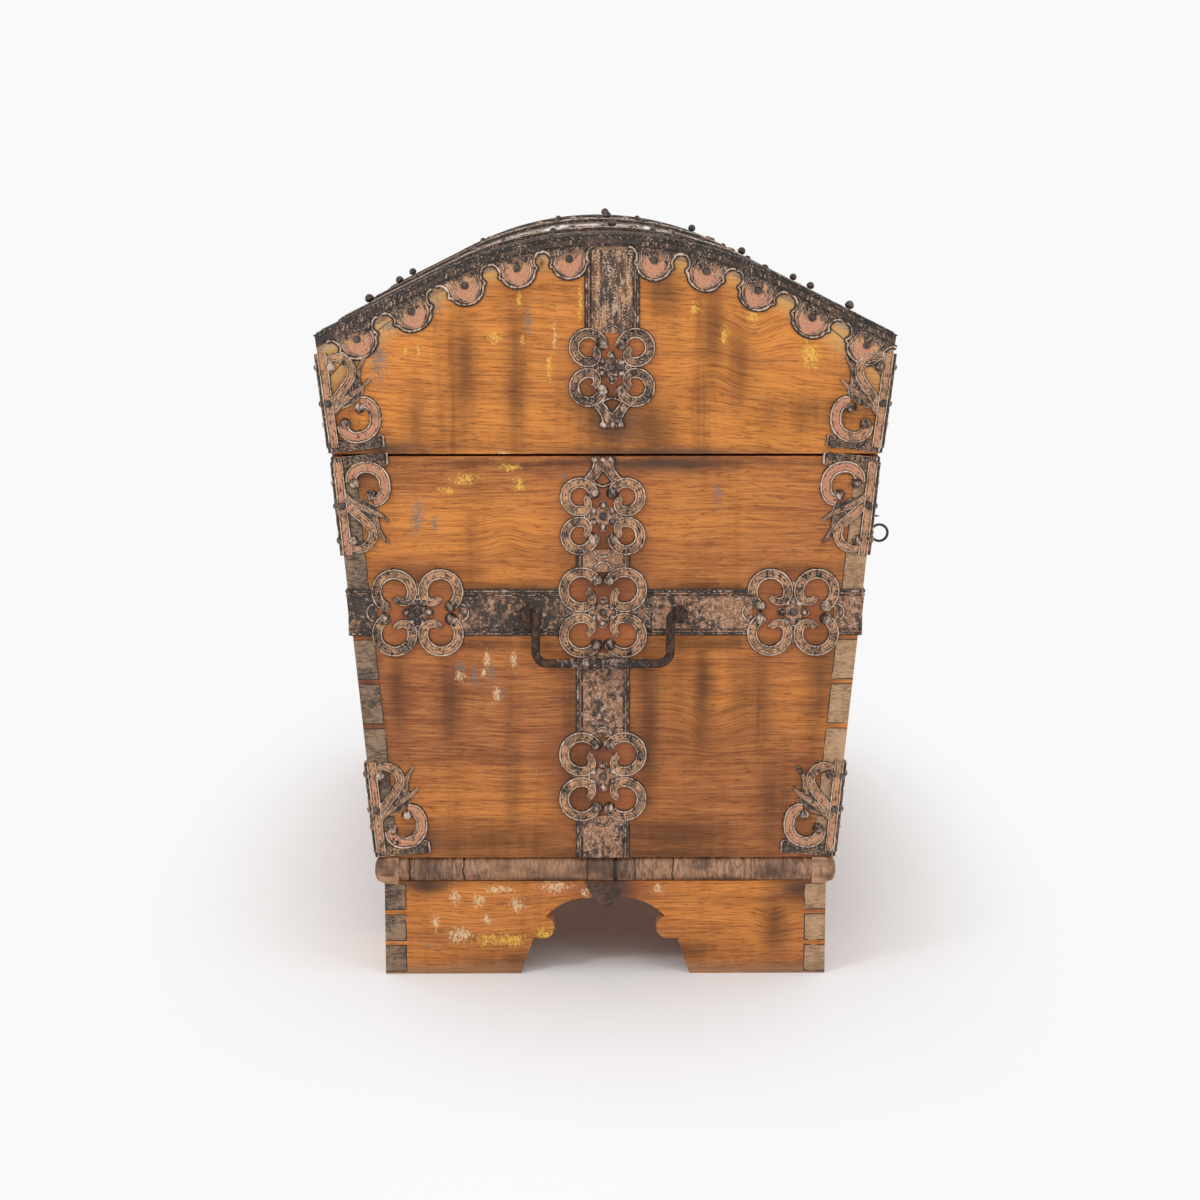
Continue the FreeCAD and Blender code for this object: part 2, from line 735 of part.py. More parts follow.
def cross_strap(sign):
    flower_u = sign * size("side_flower_reach")
    corner_u = -sign * front_depth(cross_z)
    inner = sign * center_gap + end_shift
    reach = sign * flower_long[LARGE]
    stretches = [(inner, flower_u - reach), (flower_u + reach, corner_u + sign * sheet_iron)]
    pieces = [plate(sorted(stretch), (-cross_half, cross_half), sheet_iron) for stretch in stretches]
    return [placed(piece, left_end_frame(0, cross_z))
            for piece in pieces + [flower_at(flower_u, 0, False, LARGE)]]


wrap = size("cross_strap_wrap")
corner_place = front_frame(-half, cross_z)
front_turn = placed(welded([plate((-sheet_iron, wrap - cross_half), (-cross_half, cross_half), sheet_iron),
                            disc(wrap - cross_half, 0, cross_half, sheet_iron)]), corner_place)
left_cross_front = drawn("left_cross_strap_front", welded(cross_strap(1) + [front_turn]))
left_cross_back = mirrored("left_cross_strap_back", left_cross_front, ACROSS_Y)
right_cross_front = mirrored("right_cross_strap_front", left_cross_front, ACROSS_X)
right_cross_back = mirrored("right_cross_strap_back", left_cross_back, ACROSS_X)
for sign in (-1, 1):
    drive_nail("carcass", left_end_frame(0, cross_z), sign * size("side_flower_reach"), 0, BOTH_ENDS)
drive_nail("carcass", corner_place, wrap - cross_half, 0, FOUR_CORNERS)

# Lobed edging: a band over the lid's end and a lobed strip down its face
edging_outer = lid_run(sheet_iron, -half - sheet_iron)
edging_inner = lid_run(0, -half - sheet_iron)
edging = [along(closed_between(edging_outer[1:4], edging_inner[1:4]), size("edging_cover"))]
edging.append(along(closed_between(dome_edges(0, 0, -half - sheet_iron),
                                   dome_edges(-size("edging_strip"), 0, -half - sheet_iron)), sheet_iron))
arc_half = crown_radius * flank


def dome_place(distance):
    """Place on the left end at a distance along the dome from its top: u along the dome, v outward."""
    sign = 1 if distance > 0 else -1
    angle = sign * min(abs(distance) / crown_radius, flank)
    past = max(abs(distance) - arc_half, 0)
    outward = V(0, math.sin(angle), math.cos(angle))
    tangent = V(0, -math.cos(angle), math.sin(angle))
    return frame(crown_point(angle, 0, -half) - tangent * (sign * past), tangent, outward)


def rim_distance(across):
    """Distance along the dome from its top to the rim's point at a y of across."""
    sign = 1 if across > 0 else -1
    on_crown = crown_radius * math.asin(min(abs(across) / crown_radius, math.sin(flank)))
    return sign * (on_crown + max(abs(across) - crown_half, 0) / math.cos(flank))


lobe_half = size("lobe_width") / 2
lobe_straight = size("lobe_drop") - lobe_half
lobe_places = []
for index in range(int(size("lobe_count"))):
    for sign in (-1, 1):
        across = sign * (size("lobe_first") + index * size("lobe_pitch")) + size("lid_strap_shift")
        lobe_places.append(dome_place(rim_distance(across)))
for place in lobe_places:
    edging.append(placed(plate((-lobe_half, lobe_half), (-lobe_straight, -sheet_iron), sheet_iron), place))
    edging.append(placed(disc(0, -lobe_straight, lobe_half, sheet_iron), place))
    drive_nail("lid", place, 0, -lobe_straight, BOTH_ENDS)
end_face_clip = along(Part.Face(Part.Wire(Part.__sortEdges__(
    dome_edges(sheet_iron, sheet_iron, -half - sheet_iron) + [Part.makeLine(
        shoulder_point(sheet_iron, sheet_iron, -half - sheet_iron),
        V(-half - sheet_iron, side_y(lid_base, sheet_iron), lid_base)),
        Part.makeLine(V(-half - sheet_iron, side_y(lid_base, sheet_iron), lid_base),
                      V(-half - sheet_iron, -side_y(lid_base, sheet_iron), lid_base)),
        Part.makeLine(V(-half - sheet_iron, -side_y(lid_base, sheet_iron), lid_base),
                      other_side(shoulder_point(sheet_iron, sheet_iron, -half - sheet_iron)))]))), length)
left_edging = drawn("left_lid_edging", welded(edging).common(end_face_clip))
right_edging = mirrored("right_lid_edging", left_edging, ACROSS_X)

# Strap down the middle of the lid's end, under the edging
lid_strap_place = left_end_frame(size("lid_strap_shift"), lid_base)
lid_flower = size("lid_flower_rise")
strap_top = shoulder_z - lid_base + size("lid_rise") - size("edging_strip") - 2 * sheet_iron
lid_end_strap = placed(strap_with_flowers(size("end_strap_width"), lid_flower, strap_top,
                                          [(lid_flower, SMALL)], lid_flower - size("finial_reach")),
                       lid_strap_place)
left_lid_end_strap = drawn("left_lid_end_strap", lid_end_strap.cut(left_edging.Shape))
right_lid_end_strap = mirrored("right_lid_end_strap", left_lid_end_strap, ACROSS_X)
drive_nail("lid", lid_strap_place, 0, lid_flower, BOTH_ENDS)


# Corner mounts: a plate, a ring and a drop loop that wrap each corner

def corner_leaf(length):
    """Flat leaf with the corner edge on u = 0, its plate at v = 0 and the loop at v = length."""
    edge = size("mount_edge")
    outer = size("mount_ring")
    loop = size("mount_loop")
    band = size("scroll_band")
    spike = size("mount_spike")
    wide = size("mount_width")
    ring_u = edge / 2 + outer
    ring_v = edge / 2 + outer
    loop_u = edge / 2 + loop
    loop_v = length - loop
    root = (edge, ring_v + outer / 2)
    knee = (loop_u, loop_v - loop)
    return welded([
        plate((-sheet_iron, edge), (0, length), sheet_iron),
        plate((-sheet_iron, wide), (0, edge), sheet_iron),
        ring(ring_u, ring_v, outer, outer - band, sheet_iron),
        ring(loop_u, loop_v, loop, loop - spike, sheet_iron),
        bar(root, knee, band, sheet_iron),
        bar((edge, root[1] + band / 2), (wide, ring_v + outer + spike), spike, sheet_iron),
        bar((loop_u, loop_v), (wide, loop_v + loop / 2), spike, sheet_iron).cut(
            disc(loop_u, loop_v, loop - spike, sheet_iron)),
    ])


def corner_mount(z, top, lean_angle, depth_at, upward):
    """Mount on the front left corner from height z; upward says which way its leaf runs."""
    edge_up = V(0, -math.sin(lean_angle), math.cos(lean_angle))
    origin = V(-half, depth_at(z), z)
    run = edge_up if upward else edge_up * -1
    inward = V(0, math.cos(lean_angle), math.sin(lean_angle))
    end_leaf = corner_leaf(size("mount_length"))
    side_leaf = end_leaf.mirror(V(0, 0, 0), V(1, 0, 0))
    outward_x, outward_side = V(-1, 0, 0), inward * -1
    leaves = []
    for leaf_u, normal in ((inward, outward_x), (V(1, 0, 0), outward_side)):
        mirrored_leaf = leaf_u.cross(run).dot(normal) < 0
        u = leaf_u * -1 if mirrored_leaf else leaf_u
        leaves.append(placed(side_leaf if mirrored_leaf else end_leaf, frame(origin, u, run)))
    slab = Part.makeBox(4 * half, 4 * half, top[1] - top[0], V(-2 * half, -2 * half, top[0]))
    return leaves[0].fuse(leaves[1]).removeSplitter().common(slab)


def four_corners(mount):
    left = [mount, mount.mirror(V(0, 0, 0), ACROSS_Y)]
    return Part.makeCompound(left + [piece.mirror(V(0, 0, 0), ACROSS_X) for piece in left])


mount_room = size("mount_length") + 2 * sheet_iron
upper_mounts = drawn("upper_corner_mounts", four_corners(
    corner_mount(body_top, (body_top - mount_room, body_top), lean, front_depth, False)))
lower_mounts = drawn("lower_corner_mounts", four_corners(
    corner_mount(body_base, (body_base, body_base + mount_room), lean, front_depth, True)))
lid_mount = corner_mount(lid_base, (lid_base, lid_base + mount_room), lid_lean, lid_front_depth, True)
both_edgings = [left_edging.Shape, left_edging.Shape.mirror(V(0, 0, 0), ACROSS_X)]
lid_mounts = drawn("lid_corner_mounts", four_corners(lid_mount).cut(both_edgings))


# Long straps: on the front, over the lid and down the back, with hinge knuckles at the back

strap_x = size("long_strap_spacing") / 2
strap_half = size("long_strap_width") / 2
slope_height = size("body_height") / math.cos(lean)
front_place = front_frame(-strap_x, body_base)
front_strap = strap_with_flowers(2 * strap_half, 0, flower_rises[-1], body_flowers,
                                 flower_rises[-1] + size("finial_reach"))
front_strap_left = drawn("front_strap_left", placed(front_strap, front_place))
front_strap_right = mirrored("front_strap_right", front_strap_left, ACROSS_X)
for rise in flower_rises:
    drive_nail("carcass", front_place, 0, rise, BOTH_ENDS)

hinge_y = lid_half_foot + size("hinge_setback")
hinge_z = (body_top + lid_base) / 2
knuckle = size("knuckle_radius")
gap = size("knuckle_gap")
bore = size("hinge_pin_radius") + size("hinge_fit")
third = 2 * strap_half / 3


def barrel(x_low, x_high):
    return Part.makeCylinder(knuckle, x_high - x_low, V(x_low, hinge_y, hinge_z), V(1, 0, 0))


hinge_bore = Part.makeCylinder(bore, 2 * half, V(-half, hinge_y, hinge_z), V(1, 0, 0))
strap_low = -strap_x - strap_half

# Body leaf: the strap on the back board, bent out to the two outer knuckles
back_place = frame(V(-strap_x, -front_depth(body_base), body_base), V(-1, 0, 0),
                   V(0, math.sin(lean), math.cos(lean)))
back_strap = placed(strap_with_flowers(2 * strap_half, 0, slope_height - knuckle, body_flowers[:2]),
                    back_place)
leaf_bend = knuckle + size("hinge_setback")
body_knuckles = []
outer_spans = ((strap_low, strap_low + third - gap / 2),
               (strap_low + 2 * third + gap / 2, strap_low + 3 * third))
for low, high in outer_spans:
    body_knuckles.append(barrel(low, high))
    face = polygon([V(low, -front_depth(hinge_z - leaf_bend), hinge_z - leaf_bend),
                    V(low, -front_depth(body_top), body_top - sheet_iron),
                    V(low, hinge_y, hinge_z), V(low, hinge_y + knuckle / 2, hinge_z - knuckle / 2)])
    body_knuckles.append(along(face, high - low))
lid_sweep = Part.makeCylinder(knuckle + gap, third + gap, V(strap_low + third - gap / 2, hinge_y, hinge_z),
                              V(1, 0, 0))
hinge_strap = welded([back_strap] + body_knuckles).cut(hinge_bore).cut(lid_sweep)
hinge_strap_left = drawn("hinge_strap_left", hinge_strap)
hinge_strap_right = mirrored("hinge_strap_right", hinge_strap_left, ACROSS_X)
for rise in flower_rises[:2]:
    drive_nail("carcass", back_place, 0, rise, BOTH_ENDS)

# Lid leaf: the strap over the dome, bent out to the middle knuckle
lid_shell = along(closed_between(lid_run(sheet_iron, strap_low), lid_run(0, strap_low)), 2 * strap_half)
mid_low, mid_high = strap_low + third + gap / 2, strap_low + 2 * third - gap / 2
lid_leaf_face = polygon([V(mid_low, side_y(lid_base + leaf_bend, 0), lid_base + leaf_bend),
                         V(mid_low, side_y(lid_base + sheet_iron, 0), lid_base + sheet_iron),
                         V(mid_low, hinge_y, hinge_z),
                         V(mid_low, hinge_y + knuckle / 2, hinge_z + knuckle / 2)])
body_sweeps = [Part.makeCylinder(knuckle + gap, third + gap, V(low, hinge_y, hinge_z), V(1, 0, 0))
               for low in (strap_low - gap / 2, strap_low + 2 * third - gap / 2)]
lid_reach = flower_long[LARGE]
flower_room = 2 * (lid_reach + size("scroll_band"))
wide_shell = along(closed_between(lid_run(sheet_iron, -strap_x - flower_room / 2),
                                  lid_run(0, -strap_x - flower_room / 2)), flower_room)
flower_turn = size("lid_flower_pitch") / crown_radius
tall_flower = placed(quatrefoil(2 * stave, LARGE), FreeCAD.Placement(V(0, 0, 0), UPRIGHT))
lid_flowers = []
lid_holes = []
for angle in (-flower_turn, 0, flower_turn):
    up_the_dome = V(0, math.cos(angle), -math.sin(angle))
    place = frame(crown_point(angle, 0, -strap_x), V(1, 0, 0), up_the_dome)
    sunk = place.multiply(FreeCAD.Placement(V(0, 0, -stave), FreeCAD.Rotation()))
    lid_flowers.append(placed(tall_flower, sunk).common(wide_shell))
    lid_holes.append(placed(plate((-lid_reach, lid_reach), (-lid_reach, lid_reach), 2 * stave), sunk))
    drive_nail("lid", place, 0, 0, BOTH_ENDS)
lid_strap = lid_shell.cut(lid_holes).fuse(lid_flowers + [barrel(mid_low, mid_high),
                                                          along(lid_leaf_face, mid_high - mid_low)])
lid_strap = lid_strap.cut(body_sweeps).cut(hinge_bore).removeSplitter()
lid_strap_left = drawn("lid_strap_left", lid_strap)
lid_strap_right = mirrored("lid_strap_right", lid_strap_left, ACROSS_X)

pin_head = size("nail_shank")
pin_start = strap_low - gap
hinge_pin = welded([Part.makeCylinder(size("hinge_pin_radius"), 2 * strap_half + gap,
                                      V(pin_start, hinge_y, hinge_z), V(1, 0, 0)),
                    Part.makeCylinder(knuckle, pin_head, V(pin_start - pin_head, hinge_y, hinge_z),
                                      V(1, 0, 0))])
hinge_pins = drawn("hinge_pins", Part.makeCompound([hinge_pin, hinge_pin.mirror(V(0, 0, 0), ACROSS_X)]))


# Bail handles on eyes through the cross strap

pivot_half = size("handle_span") / 2
standoff = size("handle_standoff")
drop = size("handle_drop")
bail_r = size("bail_radius")
corner = size("bail_corner")
arm = pivot_half - size("eye_width") / 2 - bail_r - 2 * size("eye_clearance")
pivot_end = pivot_half + size("eye_width") / 2 + bail_r
handle_place = left_end_frame(end_shift, cross_z)


def quarter_bend(u, v, radius, start):
    bend = Part.makeTorus(radius, bail_r, V(0, 0, 0), V(0, 0, 1), 0, 360, 90)
    return placed(bend, FreeCAD.Placement(V(u, v, 0), FreeCAD.Rotation(V(0, 0, 1), start)))


def rod(start, end):
    run = V(end[0] - start[0], end[1] - start[1], 0)
    return Part.makeCylinder(bail_r, run.Length, V(start[0], start[1], 0), run)


def bail():
    """Bail in its own plane, with its pivots on v = 0 and the grip hanging below."""
    bend = size("bail_bend")
    side = [rod((arm + bend, 0), (pivot_end, 0)), quarter_bend(arm + bend, -bend, bend, 90),
            rod((arm, -drop + corner), (arm, -bend)),
            quarter_bend(arm - corner, -drop + corner, corner, 270),
            rod((0, -drop), (arm - corner, -drop)),
            Part.makeSphere(size("bail_bulb"), V(size("bulb_spacing") / 2, -drop, 0), V(1, 0, 0))]
    half_bail = welded(side)
    return welded([half_bail, half_bail.mirror(V(0, 0, 0), V(1, 0, 0))])


bail_place = handle_place.multiply(FreeCAD.Placement(V(0, 0, standoff), FreeCAD.Rotation()))
left_bail = drawn("left_bail", placed(bail(), bail_place))
right_bail = mirrored("right_bail", left_bail, ACROSS_X)


def eye(u):
    width = size("eye_width")
    hole = bail_r + size("eye_clearance")
    loop = Part.makeCylinder(size("eye_radius"), width, V(u - width / 2, 0, standoff), V(1, 0, 0))
    collar = disc(u, 0, size("eye_radius") * 0.8, standoff - hole - sheet_iron, sheet_iron)
    sunk = size("eye_shank_length")
    shank = disc(u, 0, size("eye_shank_radius"), standoff - hole + sunk, -sunk)
    cleared = Part.makeCylinder(hole, width * 2, V(u - width, 0, standoff), V(1, 0, 0))
    return welded([loop, collar, shank]).cut(cleared)


left_eyes = [placed(eye(sign * pivot_half), handle_place) for sign in (-1, 1)]
handle_eyes = drawn("handle_eyes", Part.makeCompound(
    left_eyes + [piece.mirror(V(0, 0, 0), ACROSS_X) for piece in left_eyes]))


# Lock on the inside of the front board, in the frame of the keyhole

lock_half = size("lock_width") / 2
wall = size("lock_wall")
depth = size("lock_depth")
slack = size("lock_clearance")
lock_top = size("keyhole_drop") / math.cos(lean) - size("rim_clearance")
inner_w = -board_normal
case_w = inner_w - depth
staple_u = 2 * size("staple_thickness")
staple_half = size("staple_thickness") / 2
staple_low = lock_top - size("staple_drop")
nose_v = staple_low + size("staple_width")
bolt_w = inner_w - size("bolt_level") - size("bolt_thickness")
staple_w = bolt_w + size("bolt_thickness") / 2

case = plate((-lock_half, lock_half), (-size("lock_drop"), lock_top), depth, case_w)
cavity = plate((-lock_half + wall, lock_half - wall), (-size("lock_drop") + wall, lock_top - wall), depth,
               case_w + wall)
mouth = plate((staple_u - staple_half - 3 * slack, staple_u + staple_half + 3 * slack),
              (lock_top - 2 * wall, lock_top + wall), depth, case_w + wall)
tip_bore = disc(0, 0, key_bore, 3 * wall, case_w - wall)

nose_half = size("staple_width") / 2 - 2 * slack
nose_tip = staple_u - staple_half - 2 * slack
bolt_right = nose_tip - size("bolt_throw")
bolt_left = bolt_right - size("bolt_width")
bolt_low = size("key_shank_radius") + slack
bolt_size = size("bolt_thickness")
bolt = welded([plate((bolt_left, bolt_right), (bolt_low, nose_v + nose_half), bolt_size, bolt_w),
               plate((bolt_right, nose_tip), (nose_v - nose_half, nose_v + nose_half), bolt_size, bolt_w)])
lock_bolt = drawn("lock_bolt", placed(bolt, lock_place))

# Guide straps that carry the bolt inside the case
guides = []
for guide_v in (bolt_low + nose_half, nose_v - 2 * size("staple_width")):
    guide_run = (bolt_left - wall, bolt_right + size("bolt_throw") + wall)
    guide_depth = bolt_w - size("seat_clearance") - case_w
    guides.append(plate(guide_run, (guide_v, guide_v + 2 * wall), guide_depth, case_w))
lock_case = drawn("lock_case", placed(case.cut(cavity).cut(mouth).cut(tip_bore).fuse(guides), lock_place))

# Staple on the lid: a drilled lug that drops into the case and a plate on the lid's front rail
lug_w = staple_w - size("staple_width") / 2
lug = plate((staple_u - staple_half, staple_u + staple_half), (staple_low, lock_top + size("staple_drop")),
            size("staple_width"), lug_w)
eye_slack = size("staple_clearance")
hole_half = nose_half + eye_slack
lug_hole = plate((staple_u - lock_half, staple_u + lock_half), (nose_v - hole_half, nose_v + hole_half),
                 bolt_size + 2 * eye_slack, bolt_w - eye_slack)
staple_place = lid_front_frame(0, lid_base)
above_rim = (size("lid_gap"), size("staple_drop"))
staple_base_half = size("staple_drop") / 2
arm_reach = size("bolt_level") + size("staple_width")
base_run = (staple_u - staple_base_half, staple_u + staple_base_half)
arm_run = (staple_u - staple_half, staple_u + staple_half)
staple_base = plate(base_run, above_rim, staple_half, -lid_board - staple_half)
staple_arm = plate(arm_run, above_rim, arm_reach, -lid_board - arm_reach)
staple_foot = [placed(piece, staple_place) for piece in (staple_base, staple_arm)]
lock_staple = drawn("lock_staple", welded([placed(lug.cut(lug_hole), lock_place)] + staple_foot))

# Escutcheon with the keyhole
shield_half = size("escutcheon_width") / 2
shield = welded([plate((-shield_half, shield_half), (0, size("escutcheon_height") / 2), sheet_iron),
                 disc(0, 0, shield_half, sheet_iron),
                 bar((0, 0), (0, -size("escutcheon_height") / 2), shield_half, sheet_iron)])
escutcheon = drawn("lock_escutcheon", placed(shield.cut(keyhole(3 * sheet_iron, -sheet_iron)), lock_place))
for sign in (-1, 1):
    drive_nail("carcass", lock_place, sign * (shield_half - 2 * size("nail_head")),
               size("escutcheon_height") / 2 - 2 * size("nail_head"), ())

# Key with a ring bow, in line with the keyhole
bow = size("key_bow_radius")
shank_r = size("key_shank_radius")
key_tip = case_w + wall / 2
bit_w = inner_w - size("bolt_level") + slack
shank = Part.makeCylinder(shank_r, size("key_reach") - key_tip, V(0, 0, key_tip))
wire = size("key_wire_radius")
bow_ring = Part.makeTorus(bow, wire, V(0, 0, size("key_reach") + bow - wire), V(1, 0, 0))
bit = plate((-size("key_bit_thickness") / 2, size("key_bit_thickness") / 2), (-size("key_bit_reach"), 0),
            size("key_bit_width"), bit_w)
collar = Part.makeSphere(shank_r * 1.5, V(0, 0, size("key_reach") - shank_r))
key = drawn("key", placed(shank.fuse([bow_ring, bit, collar]), lock_place))


# Nails through the iron into the oak; ball studs along the lid's bands

def nail():
    head = Part.makeSphere(size("nail_head"), V(0, 0, 0), V(0, 0, 1), 0, 90, 360)
    return head.fuse(disc(0, 0, size("nail_shank"), size("nail_length") + sheet_iron, -size("nail_length")))


for z, lean_angle, depth_at, group, up in ((body_top, lean, front_depth, "carcass", -1),
                                           (body_base, lean, front_depth, "carcass", 1),
                                           (lid_base, lid_lean, lid_front_depth, "lid", 1)):
    edge_up = V(0, -math.sin(lean_angle), math.cos(lean_angle))
    inward = V(0, math.cos(lean_angle), math.sin(lean_angle))
    origin = V(-half, depth_at(z), z)
    mount_nails = ((size("mount_width") - size("mount_edge"), size("mount_edge") / 2),
                   (size("mount_edge") / 2, size("mount_length") / 2))
    for across, rise in mount_nails:
        for leaf_u, normal in ((inward, V(-1, 0, 0)), (V(1, 0, 0), inward * -1)):
            place = frame(origin + leaf_u * across + edge_up * (up * rise), leaf_u, normal.cross(leaf_u))
            drive_nail(group, place, 0, 0, FOUR_CORNERS)

for step in (-3, -1, 1, 3):
    top_place = dome_place(step * size("lobe_pitch"))
    outward = top_place.Rotation.multVec(V(0, 1, 0))
    for x in (-half + size("edging_cover") / 2, -strap_x):
        seat = top_place.Base + V(half + x, 0, 0)
        drive_nail("lid", frame(seat, V(1, 0, 0), outward.cross(V(1, 0, 0))), 0, 0, BOTH_ENDS)

NAIL = nail()
driven = {"carcass": [], "lid": []}
for group, seat, planes in nails:
    copies = [placed(NAIL, seat)]
    for plane in planes:
        copies += [piece.mirror(V(0, 0, 0), plane) for piece in copies]
    driven[group] += copies
carcass_nails = drawn("carcass_nails", Part.makeCompound(driven["carcass"]))
lid_nails = drawn("lid_nails", Part.makeCompound(driven["lid"]))


# Names of the sub-parts, which also name their files
SUBPARTS = [
    front_board, back_board, left_lower, left_upper, right_lower, right_upper, *bottom_boards,
    moulding_front, moulding_back, moulding_left, moulding_right,
    plinth_front, plinth_back, plinth_left, plinth_right, corner_blocks, plinth_pendants,
    left_end_strap, right_end_strap, upper_mounts, lower_mounts,
    left_cross_front, left_cross_back, right_cross_front, right_cross_back,
    front_strap_left, front_strap_right, hinge_strap_left, hinge_strap_right, hinge_pins,
    handle_eyes, left_bail, right_bail, lock_case, lock_bolt, escutcheon, key, carcass_nails,
    lid_front_rail, lid_back_rail, lid_left_end, lid_right_end, lid_front_flank, lid_back_flank, *staves,
    left_edging, right_edging, left_lid_end_strap, right_lid_end_strap, lid_strap_left, lid_strap_right,
    lid_mounts, lock_staple, lid_nails,
]

doc.recompute()
for piece in doc.Objects:
    if "Invalid" in piece.State or "Error" in piece.State:
        raise RuntimeError(f"{piece.Name} did not compute")

os.makedirs("parts", exist_ok=True)
for piece in SUBPARTS:
    piece.Label = piece.Name
    if piece.Shape.isNull() or not piece.Shape.isValid():
        raise RuntimeError(f"{piece.Label} has no valid shape")
    piece.Shape.exportStep(f"parts/{piece.Label}.step")
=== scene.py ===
import math
from collections import namedtuple

import bpy
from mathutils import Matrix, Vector, noise


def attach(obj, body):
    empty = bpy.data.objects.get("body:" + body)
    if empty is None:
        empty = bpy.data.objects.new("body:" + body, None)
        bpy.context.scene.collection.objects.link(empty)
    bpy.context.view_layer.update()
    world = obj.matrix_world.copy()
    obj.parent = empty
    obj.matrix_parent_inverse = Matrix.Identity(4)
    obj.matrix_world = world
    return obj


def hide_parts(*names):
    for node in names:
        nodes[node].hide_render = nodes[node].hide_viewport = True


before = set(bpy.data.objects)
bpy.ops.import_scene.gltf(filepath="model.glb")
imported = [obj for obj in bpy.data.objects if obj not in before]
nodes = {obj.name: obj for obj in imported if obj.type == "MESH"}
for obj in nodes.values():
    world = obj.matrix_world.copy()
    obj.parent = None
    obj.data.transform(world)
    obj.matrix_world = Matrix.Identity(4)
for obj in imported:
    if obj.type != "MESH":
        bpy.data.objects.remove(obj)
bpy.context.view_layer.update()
MM = 0.001
scene = bpy.context.scene


# Node material helpers

class Tree:
    """A material's node tree with short calls for the nodes that it uses."""

    def __init__(self, name):
        self.material = bpy.data.materials.new(name)
        self.material.use_nodes = True
        self.tree = self.material.node_tree
        self.tree.nodes.clear()
        self.output = self.tree.nodes.new("ShaderNodeOutputMaterial")
        self.shader = self.tree.nodes.new("ShaderNodeBsdfPrincipled")
        self.tree.links.new(self.shader.outputs[0], self.output.inputs[0])
        coordinates = self.tree.nodes.new("ShaderNodeTexCoord")
        self.place = coordinates.outputs["Object"]
        self.facing = coordinates.outputs["Normal"]

    def put(self, socket, value):
        if isinstance(value, bpy.types.NodeSocket):
            self.tree.links.new(value, socket)
        elif isinstance(value, (tuple, list)) and len(value) == 3 and socket.type == "RGBA":
            socket.default_value = (*value, 1)
        else:
            socket.default_value = value

    def node(self, kind, **inputs):
        made = self.tree.nodes.new(kind)
        for word, value in inputs.items():
            self.put(made.inputs[word.replace("_", " ")], value)
        return made

    def operator(self, kind, operation, values):
        made = self.tree.nodes.new(kind)
        made.operation = operation
        for socket, value in zip(made.inputs, values):
            self.put(socket, value)
        return made

    def math(self, operation, *values):
        return self.operator("ShaderNodeMath", operation, values).outputs[0]

    def vector(self, operation, *values):
        made = self.operator("ShaderNodeVectorMath", operation, values)
        return made.outputs["Value" if operation in ("DOT_PRODUCT", "LENGTH") else "Vector"]

    def attribute(self, name):
        made = self.tree.nodes.new("ShaderNodeAttribute")
        made.attribute_name = name
        return made.outputs["Fac"]

    def fold(self, operation, values):
        total = values[0]
        for value in values[1:]:
            total = self.math(operation, total, value)
        return total

    def add(self, *values):
        return self.fold("ADD", values)

    def times(self, *values):
        return self.fold("MULTIPLY", values)

    def most(self, *values):
        return self.fold("MAXIMUM", values)

    def centred(self, value, share):
        """A noise swung about nought."""
        return self.times(self.math("SUBTRACT", value, 0.5), share)

    def mix(self, factor, first, second):
        made = self.tree.nodes.new("ShaderNodeMix")
        made.data_type = "RGBA"
        self.put(made.inputs["Factor"], factor)
        self.put(made.inputs[6], first)
        self.put(made.inputs[7], second)
        return made.outputs[2]

    def over(self, colour, paint, *covers):
        """The colour with a paint over it, as thick as the product of the covers."""
        return self.mix(self.times(*covers), colour, paint)

    def blend(self, first, second, share):
        return self.add(self.times(first, share), self.times(second, 1 - share))

    def step(self, value, low, high):
        """Nought at low and one at high, with a smooth rise between."""
        made = self.node("ShaderNodeMapRange", Value=value, From_Min=low, From_Max=high)
        made.interpolation_type = "SMOOTHSTEP"
        return made.outputs[0]

    def warped(self, scale, amount):
        """The place, pushed about by a soft noise, so that straight grain wanders."""
        push = self.node("ShaderNodeTexNoise", Vector=self.place, Scale=scale, Detail=2)
        return self.vector("MULTIPLY_ADD", push.outputs["Color"], (amount, amount, amount), self.place)

    def noise(self, scale, detail=4, roughness=0.55, distortion=0, shift=(0, 0, 0), source=None):
        """Noise with its own scale along X, Y and Z, in cycles a metre."""
        spot = self.node("ShaderNodeMapping", Vector=source or self.place, Scale=scale, Location=shift)
        made = self.node("ShaderNodeTexNoise", Vector=spot.outputs[0], Scale=1, Detail=detail,
                         Roughness=roughness, Distortion=distortion)
        return made.outputs["Fac"]

    def spot(self, source, y, z, half_y, half_z):
        """One at a point of an end face, given in millimetres, fading softly over the half sizes."""
        shrink = (0, 1 / (half_y * MM), 1 / (half_z * MM))
        shift = (0, -y / half_y, -z / half_z)
        seen = self.node("ShaderNodeMapping", Vector=source, Scale=shrink, Location=shift).outputs[0]
        return self.math("POWER", math.exp(-1), self.vector("DOT_PRODUCT", seen, seen))

    def spots(self, source, rows):
        return self.most(*(self.spot(source, *row) for row in rows))

    def split(self, vector):
        parts = self.node("ShaderNodeSeparateXYZ", Vector=vector)
        return parts.outputs[0], parts.outputs[1], parts.outputs[2]

    def bump(self, height, distance, strength=1.0):
        made = self.node("ShaderNodeBump", Height=height, Distance=distance, Strength=strength)
        return made.outputs[0]

    def finish(self, colour, roughness, normal=None, **constants):
        self.put(self.shader.inputs["Base Color"], colour)
        self.put(self.shader.inputs["Roughness"], roughness)
        if normal is not None:
            self.put(self.shader.inputs["Normal"], normal)
        for word, value in constants.items():
            self.put(self.shader.inputs[word.replace("_", " ")], value)
        return self.material


# Camera at the photograph's place, looking along the chest at its left end

